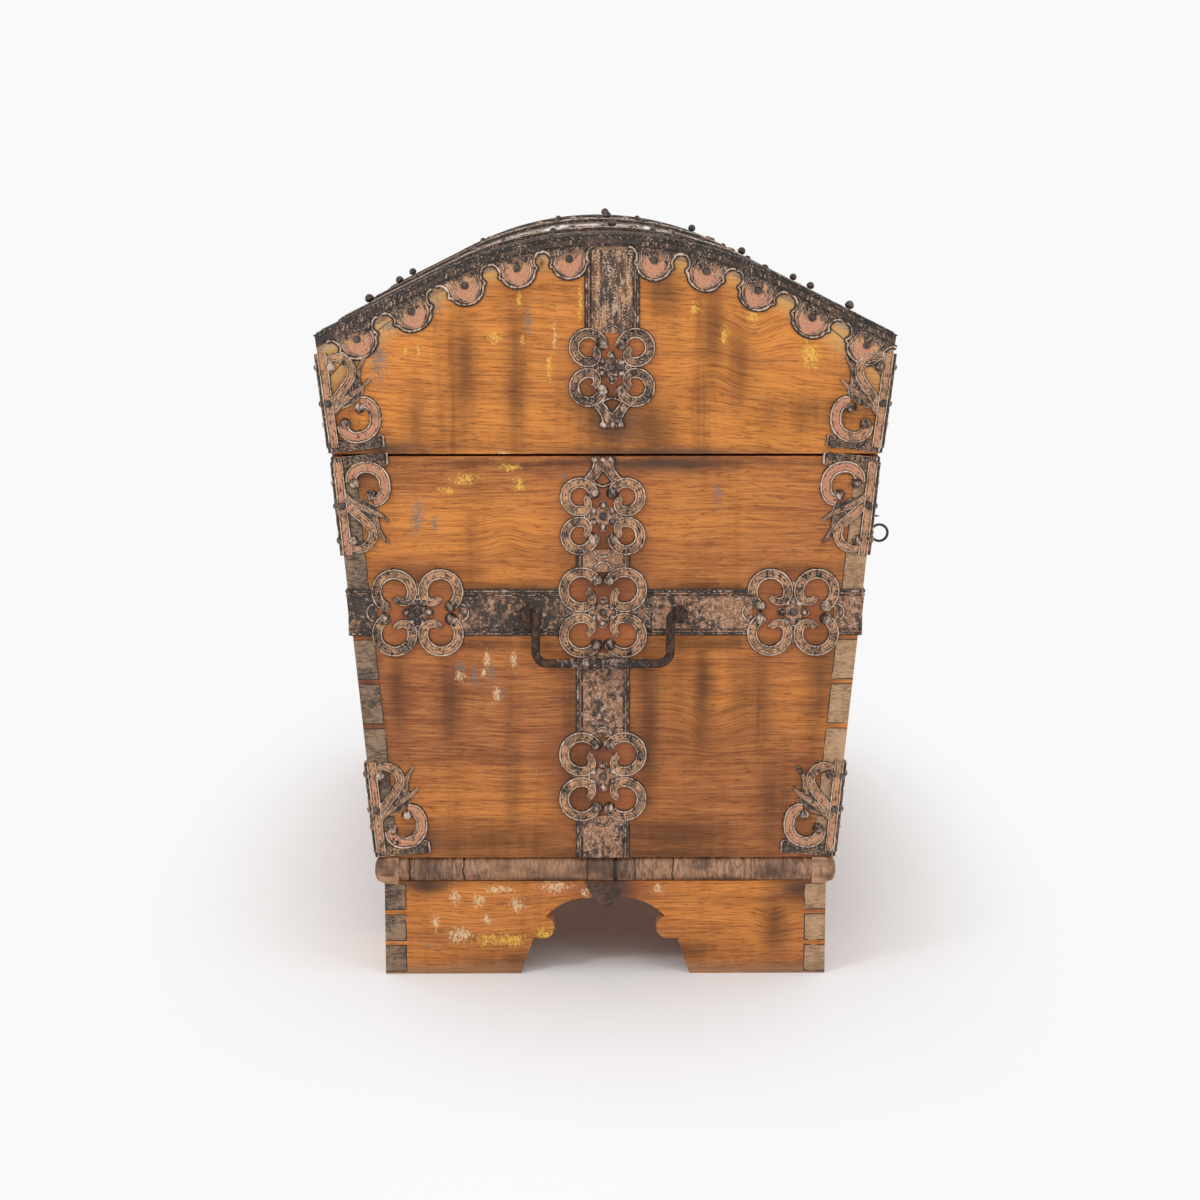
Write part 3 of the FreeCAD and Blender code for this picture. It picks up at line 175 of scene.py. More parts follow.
CAMERA_PLACE = Vector((-3.450, 0.0303, 0.9144))
CAMERA_AIM = Vector((0.98628, -0.00832, -0.16490))
CAMERA_LENS, CAMERA_SENSOR = 77.16, 36
camera_data = bpy.data.cameras.new("camera")
camera_data.lens = CAMERA_LENS
camera_data.sensor_width = CAMERA_SENSOR
camera = bpy.data.objects.new("camera", camera_data)
camera.location = CAMERA_PLACE
camera.rotation_euler = CAMERA_AIM.to_track_quat("-Z", "Y").to_euler()
scene.collection.objects.link(camera)
scene.camera = camera
scene.view_settings.view_transform = "Standard"

# Pale floor whose glow, a painted light, rises with distance from the chest into the white of the studio and
# lightens the chest's shadows beside it, and soft light

STUDIO_WHITE = 0.945
FLOOR_REACH = 40.0
FLOOR_TONES = ((0.90, 0.90, 0.91), (0.92, 0.92, 0.93))
FLOOR_SQUASH = (0.45, 1.3, 0)
FLOOR_GLOW_SPAN = (0.32, 0.80)
FLOOR_SIGNS = ((-1, -1), (1, -1), (1, 1), (-1, 1))
floor_mesh = bpy.data.meshes.new("floor")
floor_mesh.from_pydata([(FLOOR_REACH * x, FLOOR_REACH * y, 0) for x, y in FLOOR_SIGNS], [], [(0, 1, 2, 3)])
floor = bpy.data.objects.new("floor", floor_mesh)
scene.collection.objects.link(floor)
floor_tree = Tree("floor_white")
floor_shade = floor_tree.mix(floor_tree.noise((2, 2, 2)), *FLOOR_TONES)
floor_spread = floor_tree.vector("MULTIPLY", floor_tree.place, FLOOR_SQUASH)
# painted light: how much the floor glows, from nothing near the chest up to the studio white further out
floor_glow_share = floor_tree.step(floor_tree.vector("LENGTH", floor_spread), *FLOOR_GLOW_SPAN)
floor_mesh.materials.append(floor_tree.finish(
    floor_tree.mix(floor_glow_share, floor_shade, (0, 0, 0)), 0.9, Specular_IOR_Level=0,
    Emission_Color=(1, 1, 1), Emission_Strength=floor_tree.times(floor_glow_share, STUDIO_WHITE)))

world = bpy.data.worlds.new("studio")
world.use_nodes = True
world.node_tree.nodes["Background"].inputs[0].default_value = (1, 1, 1, 1)
world.node_tree.nodes["Background"].inputs[1].default_value = STUDIO_WHITE
scene.world = world


def soft_light(name, place, aim, size, power):
    data = bpy.data.lights.new(name, "AREA")
    data.shape = "RECTANGLE"
    data.size, data.size_y = size
    data.energy = power
    lamp = bpy.data.objects.new(name, data)
    lamp.location = place
    lamp.rotation_euler = (Vector(aim) - Vector(place)).to_track_quat("-Z", "Y").to_euler()
    scene.collection.objects.link(lamp)


soft_light("key_light", (-2.2, 1.6, 2.2), (-0.6, 0, 0.5), (0.5, 0.5), 16)
soft_light("fill_light", (-2.6, -2.0, 1.6), (-0.6, 0, 0.4), (0.7, 0.7), 7)

# Sizes of the chest that the ornament follows, in millimetres, and the signs of its sides and corners

HALF = 600
BODY_BASE, BODY_TOP = 140, 600
BASE_HALF, TOP_HALF = 260, 303.5
LID_BASE, LID_FOOT_HALF = 603, 305.5
LID_LEAN = math.atan2(15.5, 130)
LEAN = math.atan2(TOP_HALF - BASE_HALF, BODY_TOP - BODY_BASE)
DOME_RADIUS, DOME_CENTRE, DOME_FLANK = 425.99, 417.0, math.radians(26.488)
SHEET = 2.0
END_STRAP, LONG_STRAP, CROSS_STRAP = 60, 57, 52
END_STRAP_SHIFT, LID_STRAP_SHIFT = -3, 7
LID_FLOWER_RISE, LID_FLOWER_RED, LID_STRAP_TOP = 96, 0.45, 226
CROSS_LEVEL, SIDE_FLOWER = 424, 211
LONG_STRAP_X, END_BAND_X = 270, 571
STAVE_JOINT = 17
PLINTH_LONG, PLINTH_DEEP, PLINTH_HEIGHT = 593, 253, 110
MOULDING_LONG, MOULDING_DEEP, MOULDING_HEIGHT = 603, 263, 30
BLOCK_HALF = 13.8
SIDES = ((-1, "left"), (1, "right"))
CORNERS = ((-1, -1), (-1, 1), (1, -1), (1, 1))


# Faces of the chest that relief is laid on: u and v lie in the face and w stands out of it

class Face:
    def __init__(self, origin, u, v, w):
        self.origin, self.u, self.v, self.w = Vector(origin), Vector(u), Vector(v), Vector(w)
        self.flip = self.u.cross(self.v).dot(self.w) < 0

    def at(self, u, v, w):
        return self.origin + self.u * u + self.v * v + self.w * w


def dome_point(distance, height):
    """A point of the lid's outline, at a distance along it from the top towards the back."""
    sign = 1 if distance > 0 else -1
    angle = sign * min(abs(distance) / DOME_RADIUS, DOME_FLANK)
    past = sign * max(abs(distance) - DOME_RADIUS * DOME_FLANK, 0)
    radius = DOME_RADIUS + height
    return (radius * math.sin(angle) + past * math.cos(angle),
            DOME_CENTRE + radius * math.cos(angle) - past * math.sin(angle))


def rim_distance(across):
    """The distance along the outline to the point that lies this far across."""
    sign = 1 if across > 0 else -1
    edge = DOME_RADIUS * math.sin(DOME_FLANK)
    on_crown = DOME_RADIUS * math.asin(min(abs(across), edge) / DOME_RADIUS)
    return sign * (on_crown + max(abs(across) - edge, 0) / math.cos(DOME_FLANK))


class DomeTop:
    """The lid's top: u runs along the chest, v over the dome towards the back."""
    flip = False

    def __init__(self, x):
        self.x = x

    def at(self, u, v, w):
        y, z = dome_point(v, w)
        return Vector((self.x + u, y, z))


class DomeEnd:
    """The lid's end under its rim: u runs along the rim towards the back, v out of the dome."""

    def __init__(self, side):
        self.side = side
        self.flip = side < 0

    def at(self, u, v, w):
        y, z = dome_point(u, v)
        return Vector((self.side * (HALF + w), y, z))


class Moved:
    """A face seen from another origin, with its axes turned or mirrored."""

    def __init__(self, face, origin=(0, 0), along=(1, 0), up=(0, 1)):
        self.face, self.origin, self.along, self.up = face, origin, along, up
        self.flip = face.flip != (along[0] * up[1] - along[1] * up[0] < 0)

    def at(self, u, v, w):
        return self.face.at(self.origin[0] + u * self.along[0] + v * self.up[0],
                            self.origin[1] + u * self.along[1] + v * self.up[1], w)


def upright(face, u, v):
    """The face turned a quarter, so that its u runs up."""
    return Moved(face, (u, v), (0, 1), (-1, 0))


def handed(face, side, origin=(0, 0)):
    """The face from another origin, mirrored along u where the side is -1."""
    return Moved(face, origin, (side, 0), (0, 1))


def end_face(side):
    return Face((side * HALF, 0, 0), (0, -1, 0), (0, 0, 1), (side, 0, 0))


def long_face(side, foot, base, lean):
    up = (0, side * math.sin(lean), math.cos(lean))
    return Face((0, side * foot, base), (1, 0, 0), up, (0, side * math.cos(lean), -math.sin(lean)))


def corner_faces(x_side, y_side, z, half_depth, lean, upward):
    """The two faces at a corner, with u inward from the edge and v away from the mount's plate."""
    origin = (x_side * HALF, y_side * half_depth, z)
    edge = Vector((0, y_side * math.sin(lean), math.cos(lean))) * (1 if upward else -1)
    inward = Vector((0, -y_side * math.cos(lean), math.sin(lean)))
    return (Face(origin, inward, edge, (x_side, 0, 0)),
            Face(origin, (-x_side, 0, 0), edge, -inward))


# Relief: raised bands, beads and bosses gathered into one mesh, with how worn and how red each point is; the
# wear value also carries painted shade and painted highlight

# A profile is a row of places across, as shares of the half width, with the height and the wear at each; its
# outermost places lie past the band's edge, down near the surface below, and their low wear paints a dark
# skirt of shade and dirt round the band's foot

def mirrored(half, middle):
    """A row from its first half and its middle."""
    return half + (middle,) + tuple((-across, height, wear) for across, height, wear in reversed(half))


# The first and last places of RIBBED, BEAD and SPINE make the dark skirt of painted shade and dirt round
# each band's foot
RIBBED = mirrored(((-1.16, -1.95, 0.40), (-1.04, 0.8, 0.42), (-0.96, 1.8, 0.82), (-0.86, 2.1, 0.96),
                   (-0.74, 1.7, 0.76), (-0.62, 0.5, 0.24), (-0.40, 0.6, 0.00), (-0.18, 0.6, 0.05)),
                  (0.0, 1.3, 0.22))
BEAD = mirrored(((-1.3, -1.0, 0.40), (-0.75, 0.5, 0.42)), (0.0, 1.2, 0.92))
EDGE_BEAD = tuple((across, height, min(wear, 0.66)) for across, height, wear in BEAD)
DULL_BEAD = tuple((across, height, 0.3) for across, height, _ in BEAD)
BALL_CROWN, BALL_FOOT = 0.74, 0.57
SPINE = mirrored(((-1.15, -1.95, 0.40), (-0.95, 0.9, 0.42), (-0.78, 1.4, 0.85), (-0.55, 0.8, 0.05),
                  (-0.25, 0.9, 0.05)), (0.0, 2.3, 0.95))
UNEVEN, UNEVEN_SCALE = 0.30, 0.09
BOSS_RINGS, BOSS_AROUND = 5, 16
SHARP_ANGLE = math.radians(55)


class Relief:
    def __init__(self):
        self.points, self.faces, self.wear, self.red = [], [], [], []

    def point(self, face, u, v, w, wear, red):
        rough = noise.noise(face.at(u, v, w) * UNEVEN_SCALE)
        self.points.append(face.at(u, v, w + UNEVEN * rough) * MM)
        self.wear.append(wear)
        self.red.append(red)
        return len(self.points) - 1

    def skin(self, face, rows, closed=False):
        for first, second in zip(rows, rows[1:]):
            columns = range(len(first) if closed else len(first) - 1)
            for column in columns:
                nearby = (column + 1) % len(first)
                quad = [first[column], second[column], second[nearby], first[nearby]]
                self.faces.append(quad[::-1] if face.flip else quad)

    def tube(self, face, rows, capped=False):
        """A skin round closed rings, with its ends filled where it is capped."""
        self.skin(face, [row[::-1] for row in rows], closed=True)
        if capped:
            self.cap(face, rows[0][::-1])
            self.cap(face, rows[-1])

    def cap(self, face, row):
        self.faces.append(row[::-1] if face.flip else row)

    def band(self, face, path, width, profile=RIBBED, end_width=None, taper=0.0, red=0.6):
        """A strip of a profile along a path of u, v points; the width is half of it."""
        end_width = width if end_width is None else end_width
        rows = []
        for index, (u, v) in enumerate(path):
            before = path[max(index - 1, 0)]
            after = path[min(index + 1, len(path) - 1)]
            run_u, run_v = after[0] - before[0], after[1] - before[1]
            length = math.hypot(run_u, run_v) or 1
            left_u, left_v = -run_v / length, run_u / length
            share = max(index / (len(path) - 1) - taper, 0) / (1 - taper)
            here = width + (end_width - width) * share
            tall = min(here / width, 1)
            rows.append([self.point(face, u + left_u * across * here, v + left_v * across * here,
                                    SHEET + (height * tall if height > 0 else height), wear, red)
                         for across, height, wear in profile])
        self.skin(face, rows)
        self.cap(face, rows[0][::-1])
        self.cap(face, rows[-1])

    def boss(self, face, u, v, radius, height, crown=1.0, foot=0.35, base=0.0, red=0.4):
        """A round knob, dome or disc that stands on the sheet."""
        rows = []
        for ring in range(BOSS_RINGS):
            angle = math.pi / 2 * ring / BOSS_RINGS
            reach = radius * math.cos(angle)
            worn = foot + (crown - foot) * ring / BOSS_RINGS
            lift = base + height * math.sin(angle)
            rows.append([self.point(face, u + reach * math.cos(turn), v + reach * math.sin(turn),
                                    lift, worn, red) for turn in turns(BOSS_AROUND)])
        rows.append([self.point(face, u, v, base + height, crown, red)] * BOSS_AROUND)
        self.tube(face, rows)

    def slab(self, face, outline, red=0.2, low=0.1, high=SHEET, edge=0.9):
        """A flat plate with a raised edge, in rings of a height, a share of the outline and the wear."""
        rings = ((low, 1.0, 0.35), (high, 1.0, 0.45), (high + edge, 0.95, 0.9), (high, 0.87, 0.3),
                 (high - 0.2, 0.8, 0.1))
        middle_u = sum(u for u, _ in outline) / len(outline)
        middle_v = sum(v for _, v in outline) / len(outline)
        rows = []
        for lift, share, worn in rings:
            rows.append([self.point(face, middle_u + (u - middle_u) * share,
                                    middle_v + (v - middle_v) * share, lift, worn, red) for u, v in outline])
        self.tube(face, rows)
        self.cap(face, rows[-1])

    def built(self, name, material, body):
        mesh = bpy.data.meshes.new(name)
        faces = []
        for face in self.faces:
            corners = [corner for index, corner in enumerate(face) if corner != face[index - 1]]
            if len(corners) > 2:
                faces.append(corners)
        mesh.from_pydata(self.points, [], faces)
        mesh.validate()
        for word, values in (("wear", self.wear), ("red", self.red)):
            attribute = mesh.attributes.new(word, "FLOAT", "POINT")
            attribute.data.foreach_set("value", values)
        mesh.shade_smooth()
        mesh.set_sharp_from_angle(angle=SHARP_ANGLE)
        mesh.materials.append(material)
        piece = bpy.data.objects.new(name, mesh)
        scene.collection.objects.link(piece)
        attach(piece, body)
        return piece


def turns(count):
    """Even angles round a circle."""
    return [2 * math.pi * step / count for step in range(count)]


def arc(u, v, radius, start, end, steps=16, end_radius=None):
    end_radius = radius if end_radius is None else end_radius
    path = []
    for index in range(steps + 1):
        share = index / steps
        angle = math.radians(start + (end - start) * share)
        reach = radius + (end_radius - radius) * share
        path.append((u + reach * math.cos(angle), v + reach * math.sin(angle)))
    return path


def curve(knots, steps=6):
    """A smooth path through the knots."""
    spots = [Vector(knot) for knot in knots]
    spots = [2 * spots[0] - spots[1]] + spots + [2 * spots[-1] - spots[-2]]
    path = []
    for a, b, c, d in zip(spots, spots[1:], spots[2:], spots[3:]):
        for index in range(steps):
            t = index / steps
            path.append(tuple(0.5 * (2 * b + (c - a) * t + (2 * a - 5 * b + 4 * c - d) * t * t
                                     + (3 * b - a - 3 * c + d) * t ** 3)))
    path.append(tuple(spots[-2]))
    return path


def rounded(value, power):
    """A sine or cosine squared off towards one."""
    return math.copysign(abs(value) ** power, value)


def straight(u, low, high, steps=14):
    return [(u, low + (high - low) * index / steps) for index in range(steps + 1)]


# Scroll flowers: where a scroll's middle lies along and across, its radii, its ball's angle and its crescent

Flower = namedtuple("Flower", "along across radius hook start crescent")
LARGE = Flower(26, 24, 20, 9.5, -56, 47)
SMALL = Flower(22, 26, 16, 7.5, -75, 36)
SCROLL_TURN, HOOK_END = 190, 335
SCROLL_BAND, HOOK_TIP = 5.6, 3.2
SCROLL_STEPS, HOOK_STEPS, HOOK_SPREAD = 34, 16, 1
BALL_RADIUS, BALL_HEIGHT = 7.3, 7.5
RING_ACROSS, RING_RADIUS, RING_BEAD, RING_STEPS = 18, 3.0, 1.6, 12
CRESCENT_RADIUS, CRESCENT_TURN, CRESCENT_BEAD = 10, 75, 1.8
PETALS, PETAL_REACH, PETAL_RADIUS, PETAL_HEIGHT = 6, 12.4, 5.0, 4.2
PETAL_CROWN, PETAL_FOOT = 0.85, 0.3
BODY_FLOWERS = ((95, LARGE, (-1, 1)), (284, LARGE, (-1, 1)), (393, SMALL, (-1,)))


def flower(relief, face, kind, ends=(-1, 1), red=0.6):
    """Four C-scrolls with balls and hooks round six petals, laid with its long axis along u."""
    turn = math.radians(SCROLL_TURN)
    hook_u = kind.along + (kind.radius - kind.hook) * math.cos(turn)
    hook_v = kind.across + (kind.radius - kind.hook) * math.sin(turn)
    start = math.radians(kind.start)
    scroll = arc(kind.along, kind.across, kind.radius, kind.start, SCROLL_TURN, SCROLL_STEPS)
    scroll += arc(hook_u, hook_v, kind.hook, SCROLL_TURN, HOOK_END, HOOK_STEPS, kind.hook + HOOK_SPREAD)[1:]
    ball = (kind.along + kind.radius * math.cos(start), kind.across + kind.radius * math.sin(start))
    for u_side, v_side in CORNERS:
        corner = Moved(face, (0, 0), (u_side, 0), (0, v_side))
        relief.band(corner, scroll, SCROLL_BAND, RIBBED, HOOK_TIP, SCROLL_STEPS / len(scroll), red)
        relief.boss(corner, *ball, BALL_RADIUS, BALL_HEIGHT, BALL_CROWN, BALL_FOOT)
    for v_side in (-1, 1):
        ring = arc(0, v_side * RING_ACROSS, RING_RADIUS, 0, 360, RING_STEPS)
        relief.band(face, ring, RING_BEAD, BEAD)
    crescent = arc(kind.crescent, 0, CRESCENT_RADIUS, -CRESCENT_TURN, CRESCENT_TURN)
    for end in ends:
        relief.band(handed(face, end), crescent, CRESCENT_BEAD, BEAD)
    for turn in turns(PETALS):
        u, v = PETAL_REACH * math.cos(turn), PETAL_REACH * math.sin(turn)
        relief.boss(face, u, v, PETAL_RADIUS, PETAL_HEIGHT, PETAL_CROWN, PETAL_FOOT)


# Forked tip of a strap, with its lines by half width and its knobs by place, radius and height

FINIAL_EDGE = ((24, 38.5), (17, 45.5), (12.6, 52), (10.0, 59), (12.0, 63), (11.6, 66))
FINIAL_VOID = ((0, 33.5), (6, 35.5), (10.4, 38.4), (6, 44.6), (0, 52.2))
FINIAL_LINES = ((FINIAL_EDGE, 1.8), (FINIAL_VOID, 1.7))
FINIAL_FORK, FINIAL_TIP = (8.6, 63.5, 4.0, 4.4), (0, 63.5, 4.2, 4.8)
# Raised lines along a strap's edges, by inset and half width
EDGE_LINES = ((1.8, 1.9), (6.4, 1.2))
SHORTEST_LINE, LINE_STEP = 8, 9


def finial(relief, face):
    """Forked tip above a flower, along v from the flower's middle."""
    for side in (-1, 1):
        arm = handed(face, side)
        for knots, half_line in FINIAL_LINES:
            relief.band(arm, curve(knots), half_line, BEAD)
        relief.boss(arm, *FINIAL_FORK)
    relief.boss(face, *FINIAL_TIP)


def strap_beads(relief, face, width, low, high):
    """Two raised lines along each long edge of a strap."""
    if high - low < SHORTEST_LINE:
        return
    steps = max(int((high - low) / LINE_STEP), 3)
    for side in (-1, 1):
        for inset, half_line in EDGE_LINES:
            relief.band(face, straight(side * (width / 2 - inset), low, high, steps), half_line, EDGE_BEAD)


def strap(relief, face, width, bottom, top, flowers, red=0.6):
    """Relief of an upright strap; each flower is given by its rise, its kind and its crescents."""
    edges = [bottom]
    for rise, kind, ends in flowers:
        flower(relief, upright(face, 0, rise), kind, ends, red)
        edges += [rise - kind.along - kind.radius, rise + kind.along + kind.radius]
    edges.append(top)
    for low, high in zip(edges[0::2], edges[1::2]):
        strap_beads(relief, face, width, low, high)


# Corner mount: plate, C-ring with balls, crossed ribs, leaf spikes and a drop loop

MOUNT_PLATE = ((-0.4, 0.4), (61.5, 0.4), (61.5, 13), (56, 15.5), (50, 12), (30, 11.5), (14, 13), (-0.4, 15))
MOUNT_KNOT = ((13, 46), (30, 51), (43, 59), (46, 68), (40, 77), (30, 71), (19, 61))
MOUNT_RING = ((17.5, 30), (19, 22.5), (25, 16.2), (34, 14.2), (44.5, 17), (52, 24.5), (54.5, 35), (53, 45),
              (47.5, 51.6), (40.5, 53.0))
MOUNT_LEAF = ((7, 45), (20, 55), (34, 63), (45, 69), (54, 77))
MOUNT_LOOP = ((9, 53), (18, 63.5), (28, 74), (34.6, 84), (35, 93), (29, 101.5), (19, 105.5), (10, 103.5))
MOUNT_SPIKE = ((40, 70), (41, 84), (46, 94), (52, 102))
MOUNT_STEM = straight(4.9, 6, 111, 18)
# Bands by path, half width, profile, half width at the end, start of the taper and redness
MOUNT_BANDS = ((MOUNT_STEM, 5.3, RIBBED, None, 0.0, 0.75),
               (curve(MOUNT_RING), 6.3, RIBBED, None, 0.0, 0.85),
               (curve(MOUNT_LEAF), 5.2, SPINE, 1.6, 0.0, 0.7),
               (curve(MOUNT_LOOP), 5.0, RIBBED, 3.2, 0.75, 0.7),
               (curve(MOUNT_SPIKE), 4.2, SPINE, 1.4, 0.0, 0.6))
# Balls and studs by place, radius, height and wear on the crown and at the foot
MOUNT_BALLS = ((20.5, 31, 6.4, 7.6, BALL_CROWN, BALL_FOOT), (38.5, 46.5, 6.4, 7.6, BALL_CROWN, BALL_FOOT),
               (12.6, 95.5, 6.0, 7.6, BALL_CROWN, BALL_FOOT), (31, 62, 3.4, 3.8, 0.7),
               (27, 98.5, 2.8, 4.4, 0.6))


def corner_mount(relief, face):
    relief.slab(face, MOUNT_PLATE, 0.35)
    relief.slab(face, MOUNT_KNOT, 0.1, edge=0.2)
    for band in MOUNT_BANDS:
        relief.band(face, *band)
    for ball in MOUNT_BALLS:
        relief.boss(face, *ball)


# Lobed edging: a rim along the dome and a fluted shell in each lobe, drawn by half widths at depths

LOBE_FIRST, LOBE_PITCH, LOBE_COUNT = 49.5, 60.6, 5
LOBE_RIM = ((31, -11), (26, -12), (22, -16.5), (20.4, -23), (23, -28), (19.8, -30.5), (17, -36.8), (10, -42),
            (0, -44))
LOBE_INNER = ((15.5, -14), (15.2, -24), (13.5, -33), (7.5, -38.2), (0, -39.6))
LOBE_SHELL = ((-2, 26), (-8, 25), (-14, 21), (-21, 18.5), (-27, 19), (-32, 17), (-37, 12.5), (-41, 6.5),
              (-43, 1))
LOBE_LINES = ((LOBE_RIM, 2.2), (LOBE_INNER, 1.4))
LOBE_DEPTH, LOBE_HALF = 44, 20
RIM_LINES = ((-1.2, 2.0), (-9.2, 1.5))
DOME_REACH, RIM_SETBACK, RIM_STEPS = 343, 4, 120
SHELL_COLUMNS, SHELL_SWELL, SHELL_WEAR, SHELL_RED, SHELL_DARK = 13, 1.5, 0.05, 1.9, 0.30
FLUTES, FLUTE_DEPTH = 4, 0.35


def both_sides(knots):
    return list(knots) + [(-u, v) for u, v in reversed(knots[:-1])]


def lobe_shell(relief, face):
    rows = []
    for depth, half_width in LOBE_SHELL:
        low = min(-depth / LOBE_DEPTH, 1)
        row = []
        for column in range(SHELL_COLUMNS):
            across = 2 * column / (SHELL_COLUMNS - 1) - 1
            flute = math.cos(FLUTES * math.pi * across)
            lift = SHEET + SHELL_SWELL * low * (1 - across * across) + FLUTE_DEPTH * flute * low
            row.append(relief.point(face, across * half_width, depth, lift, SHELL_WEAR,
                                    SHELL_RED * low - SHELL_DARK))
        rows.append(row)
    relief.skin(face, rows)


def dome_edging(relief, side):
    rim = DomeEnd(side)
    rim_end = DOME_REACH - RIM_SETBACK
    run = [-rim_end + 2 * rim_end * index / RIM_STEPS for index in range(RIM_STEPS + 1)]
    for depth, width in RIM_LINES:
        relief.band(rim, [(u, depth) for u in run], width, DULL_BEAD, red=0.3)
    for index in range(LOBE_COUNT):
        for way in (-1, 1):
            middle = rim_distance(way * (LOBE_FIRST + index * LOBE_PITCH) - LID_STRAP_SHIFT)
            if abs(middle) + LOBE_HALF > DOME_REACH:
                continue
            place = Moved(rim, (middle, 0))
            lobe_shell(relief, place)
            for knots, half_line in LOBE_LINES:
                relief.band(place, curve(both_sides(knots), 4), half_line, BEAD)


# Iron: dark sheet with salmon priming and cream wear, worn ribs on the relief with painted shade round their
# feet, dark nails

BLACK = (0.024, 0.018, 0.015)
SLATE = (0.048, 0.037, 0.032)
BROWN = (0.130, 0.072, 0.048)
RUST = (0.270, 0.136, 0.076)
CLAY = (0.450, 0.240, 0.152)
SALMON = (0.560, 0.255, 0.150)
SAND = (0.560, 0.340, 0.170)
LOAM = (0.740, 0.400, 0.195)
PEAT = (0.190, 0.100, 0.062)
IRON_BROWN = (0.185, 0.120, 0.092)
ROSE_GREY = (0.545, 0.395, 0.295)
BRIGHT = (0.780, 0.660, 0.560)
NAIL_DARK = (0.030, 0.021, 0.017)
NAIL_CHIPS = (0.300, 0.220, 0.170)
# Colours laid by wear: the black step paints the shade on the bands' skirts and flanks; the brown, rose grey
# and bright steps are worn metal, and on the grips' bulbs they are a painted highlight
WEAR_AND_SHADE_STEPS = ((0.26, 0.36, BLACK), (0.54, 0.68, IRON_BROWN), (0.70, 0.86, ROSE_GREY), (1.00, 1.16, BRIGHT))


def sheet_iron(name, scale, salmon, cream, seed=0.0, black=0.5):
    """Dark sheet; salmon and cream say how much of each shows, and black where the darkest patches end."""
    tree = Tree(name)
    shift = (seed, seed * 1.7, seed * 2.3)
    patches = tree.noise(tuple(36 * part for part in scale), 5, 0.64, 0.5, shift)
    fine = tree.noise(tuple(170 * part for part in scale), 4, 0.60, 0.3, shift)
    specks = tree.noise((520, 520, 520), 2, 0.5, 0, shift)
    bare = tree.step(tree.add(patches, tree.centred(fine, 0.6)), black - 0.2, black + 0.2)
    colour = tree.mix(bare, SLATE, BROWN)
    worn = tree.step(tree.blend(patches, fine, 0.5), 0.51 - salmon, 0.65 - salmon)
    rust = tree.mix(tree.step(tree.add(specks, tree.centred(fine, 0.8)), 0.40, 0.64), RUST, CLAY)
    colour = tree.over(colour, rust, worn, 0.9)
    pale = tree.mix(tree.step(patches, 0.4, 0.6), ROSE_GREY, SAND)
    chips = tree.step(tree.blend(fine, specks, 0.45), 0.60 - cream, 0.66 - cream)
    colour = tree.over(colour, pale, chips, 0.85)
    colour = tree.over(colour, BLACK, tree.step(specks, 0.40, 0.32), 0.5)
    height = tree.add(tree.times(fine, 0.8), tree.times(worn, -0.5))
    return tree.finish(colour, tree.math("MULTIPLY_ADD", fine, 0.35, 0.36), tree.bump(height, 0.0009),
                       Specular_IOR_Level=0.25)


def relief_iron(name):
    """Iron that goes by each point's wear and red: primer in the hollows, bright metal on the ribs, black
    painted shade on the skirts round the bands, and a painted highlight on the grips' bulbs.
    """
    tree = Tree(name)
    wear, red = tree.attribute("wear"), tree.attribute("red")
    patches = tree.noise((48, 48, 40), 4, 0.62, 0.5)
    fine = tree.noise((260, 260, 170), 3, 0.62, 0.3)
    specks = tree.noise((620, 620, 620), 2, 0.5)
    streaks = tree.noise((420, 420, 70), 3, 0.6, 0.2)
    # worn also carries the painted shade of the skirts and the painted highlight of the grips' bulbs
    worn = tree.add(wear, tree.centred(patches, 1.0), tree.centred(fine, 1.2))
    ruddy = tree.add(red, tree.centred(patches, 2.0), tree.centred(fine, 1.6))
    primed = tree.add(red, tree.centred(patches, 1.2), tree.centred(specks, 0.6))
    earth = tree.mix(tree.step(tree.add(fine, tree.centred(specks, 0.6)), 0.42, 0.60), LOAM, PEAT)
    primer = tree.mix(tree.step(primed, 0.64, 0.94), earth, SALMON)
    streaked = tree.times(tree.step(streaks, 0.52, 0.66), tree.step(red, 0.30, 0.05))
    flecked = tree.times(tree.step(specks, 0.56, 0.64), tree.step(red, 0.05, 0.30))
    dark = tree.mix(tree.step(fine, 0.42, 0.62), BLACK, BROWN)
    dark = tree.over(dark, ROSE_GREY, tree.most(streaked, flecked), 0.75)
    colour = tree.mix(tree.step(ruddy, 0.36, 0.62), dark, primer)
    colour = tree.over(colour, BLACK, tree.step(specks, 0.46, 0.36), 0.5)
    for low, high, paint in WEAR_AND_SHADE_STEPS:
        colour = tree.over(colour, paint, tree.step(worn, low, high))
    return tree.finish(colour, tree.math("MULTIPLY_ADD", fine, 0.3, 0.26), tree.bump(fine, 0.0008),
                       Specular_IOR_Level=0.3)


def nail_iron(name, light, shine=0.5, dull=0.22):
    tree = Tree(name)
    patches = tree.noise((140, 140, 140), 4, 0.6)
    fine = tree.noise((520, 520, 520), 3, 0.6)
    colour = tree.mix(tree.step(patches, 0.42, 0.62), NAIL_DARK, light)
    colour = tree.over(colour, NAIL_CHIPS, tree.step(fine, 0.62, 0.75))
    return tree.finish(colour, tree.math("MULTIPLY_ADD", fine, 0.3, dull), tree.bump(fine, 0.0004),
                       Specular_IOR_Level=shine)


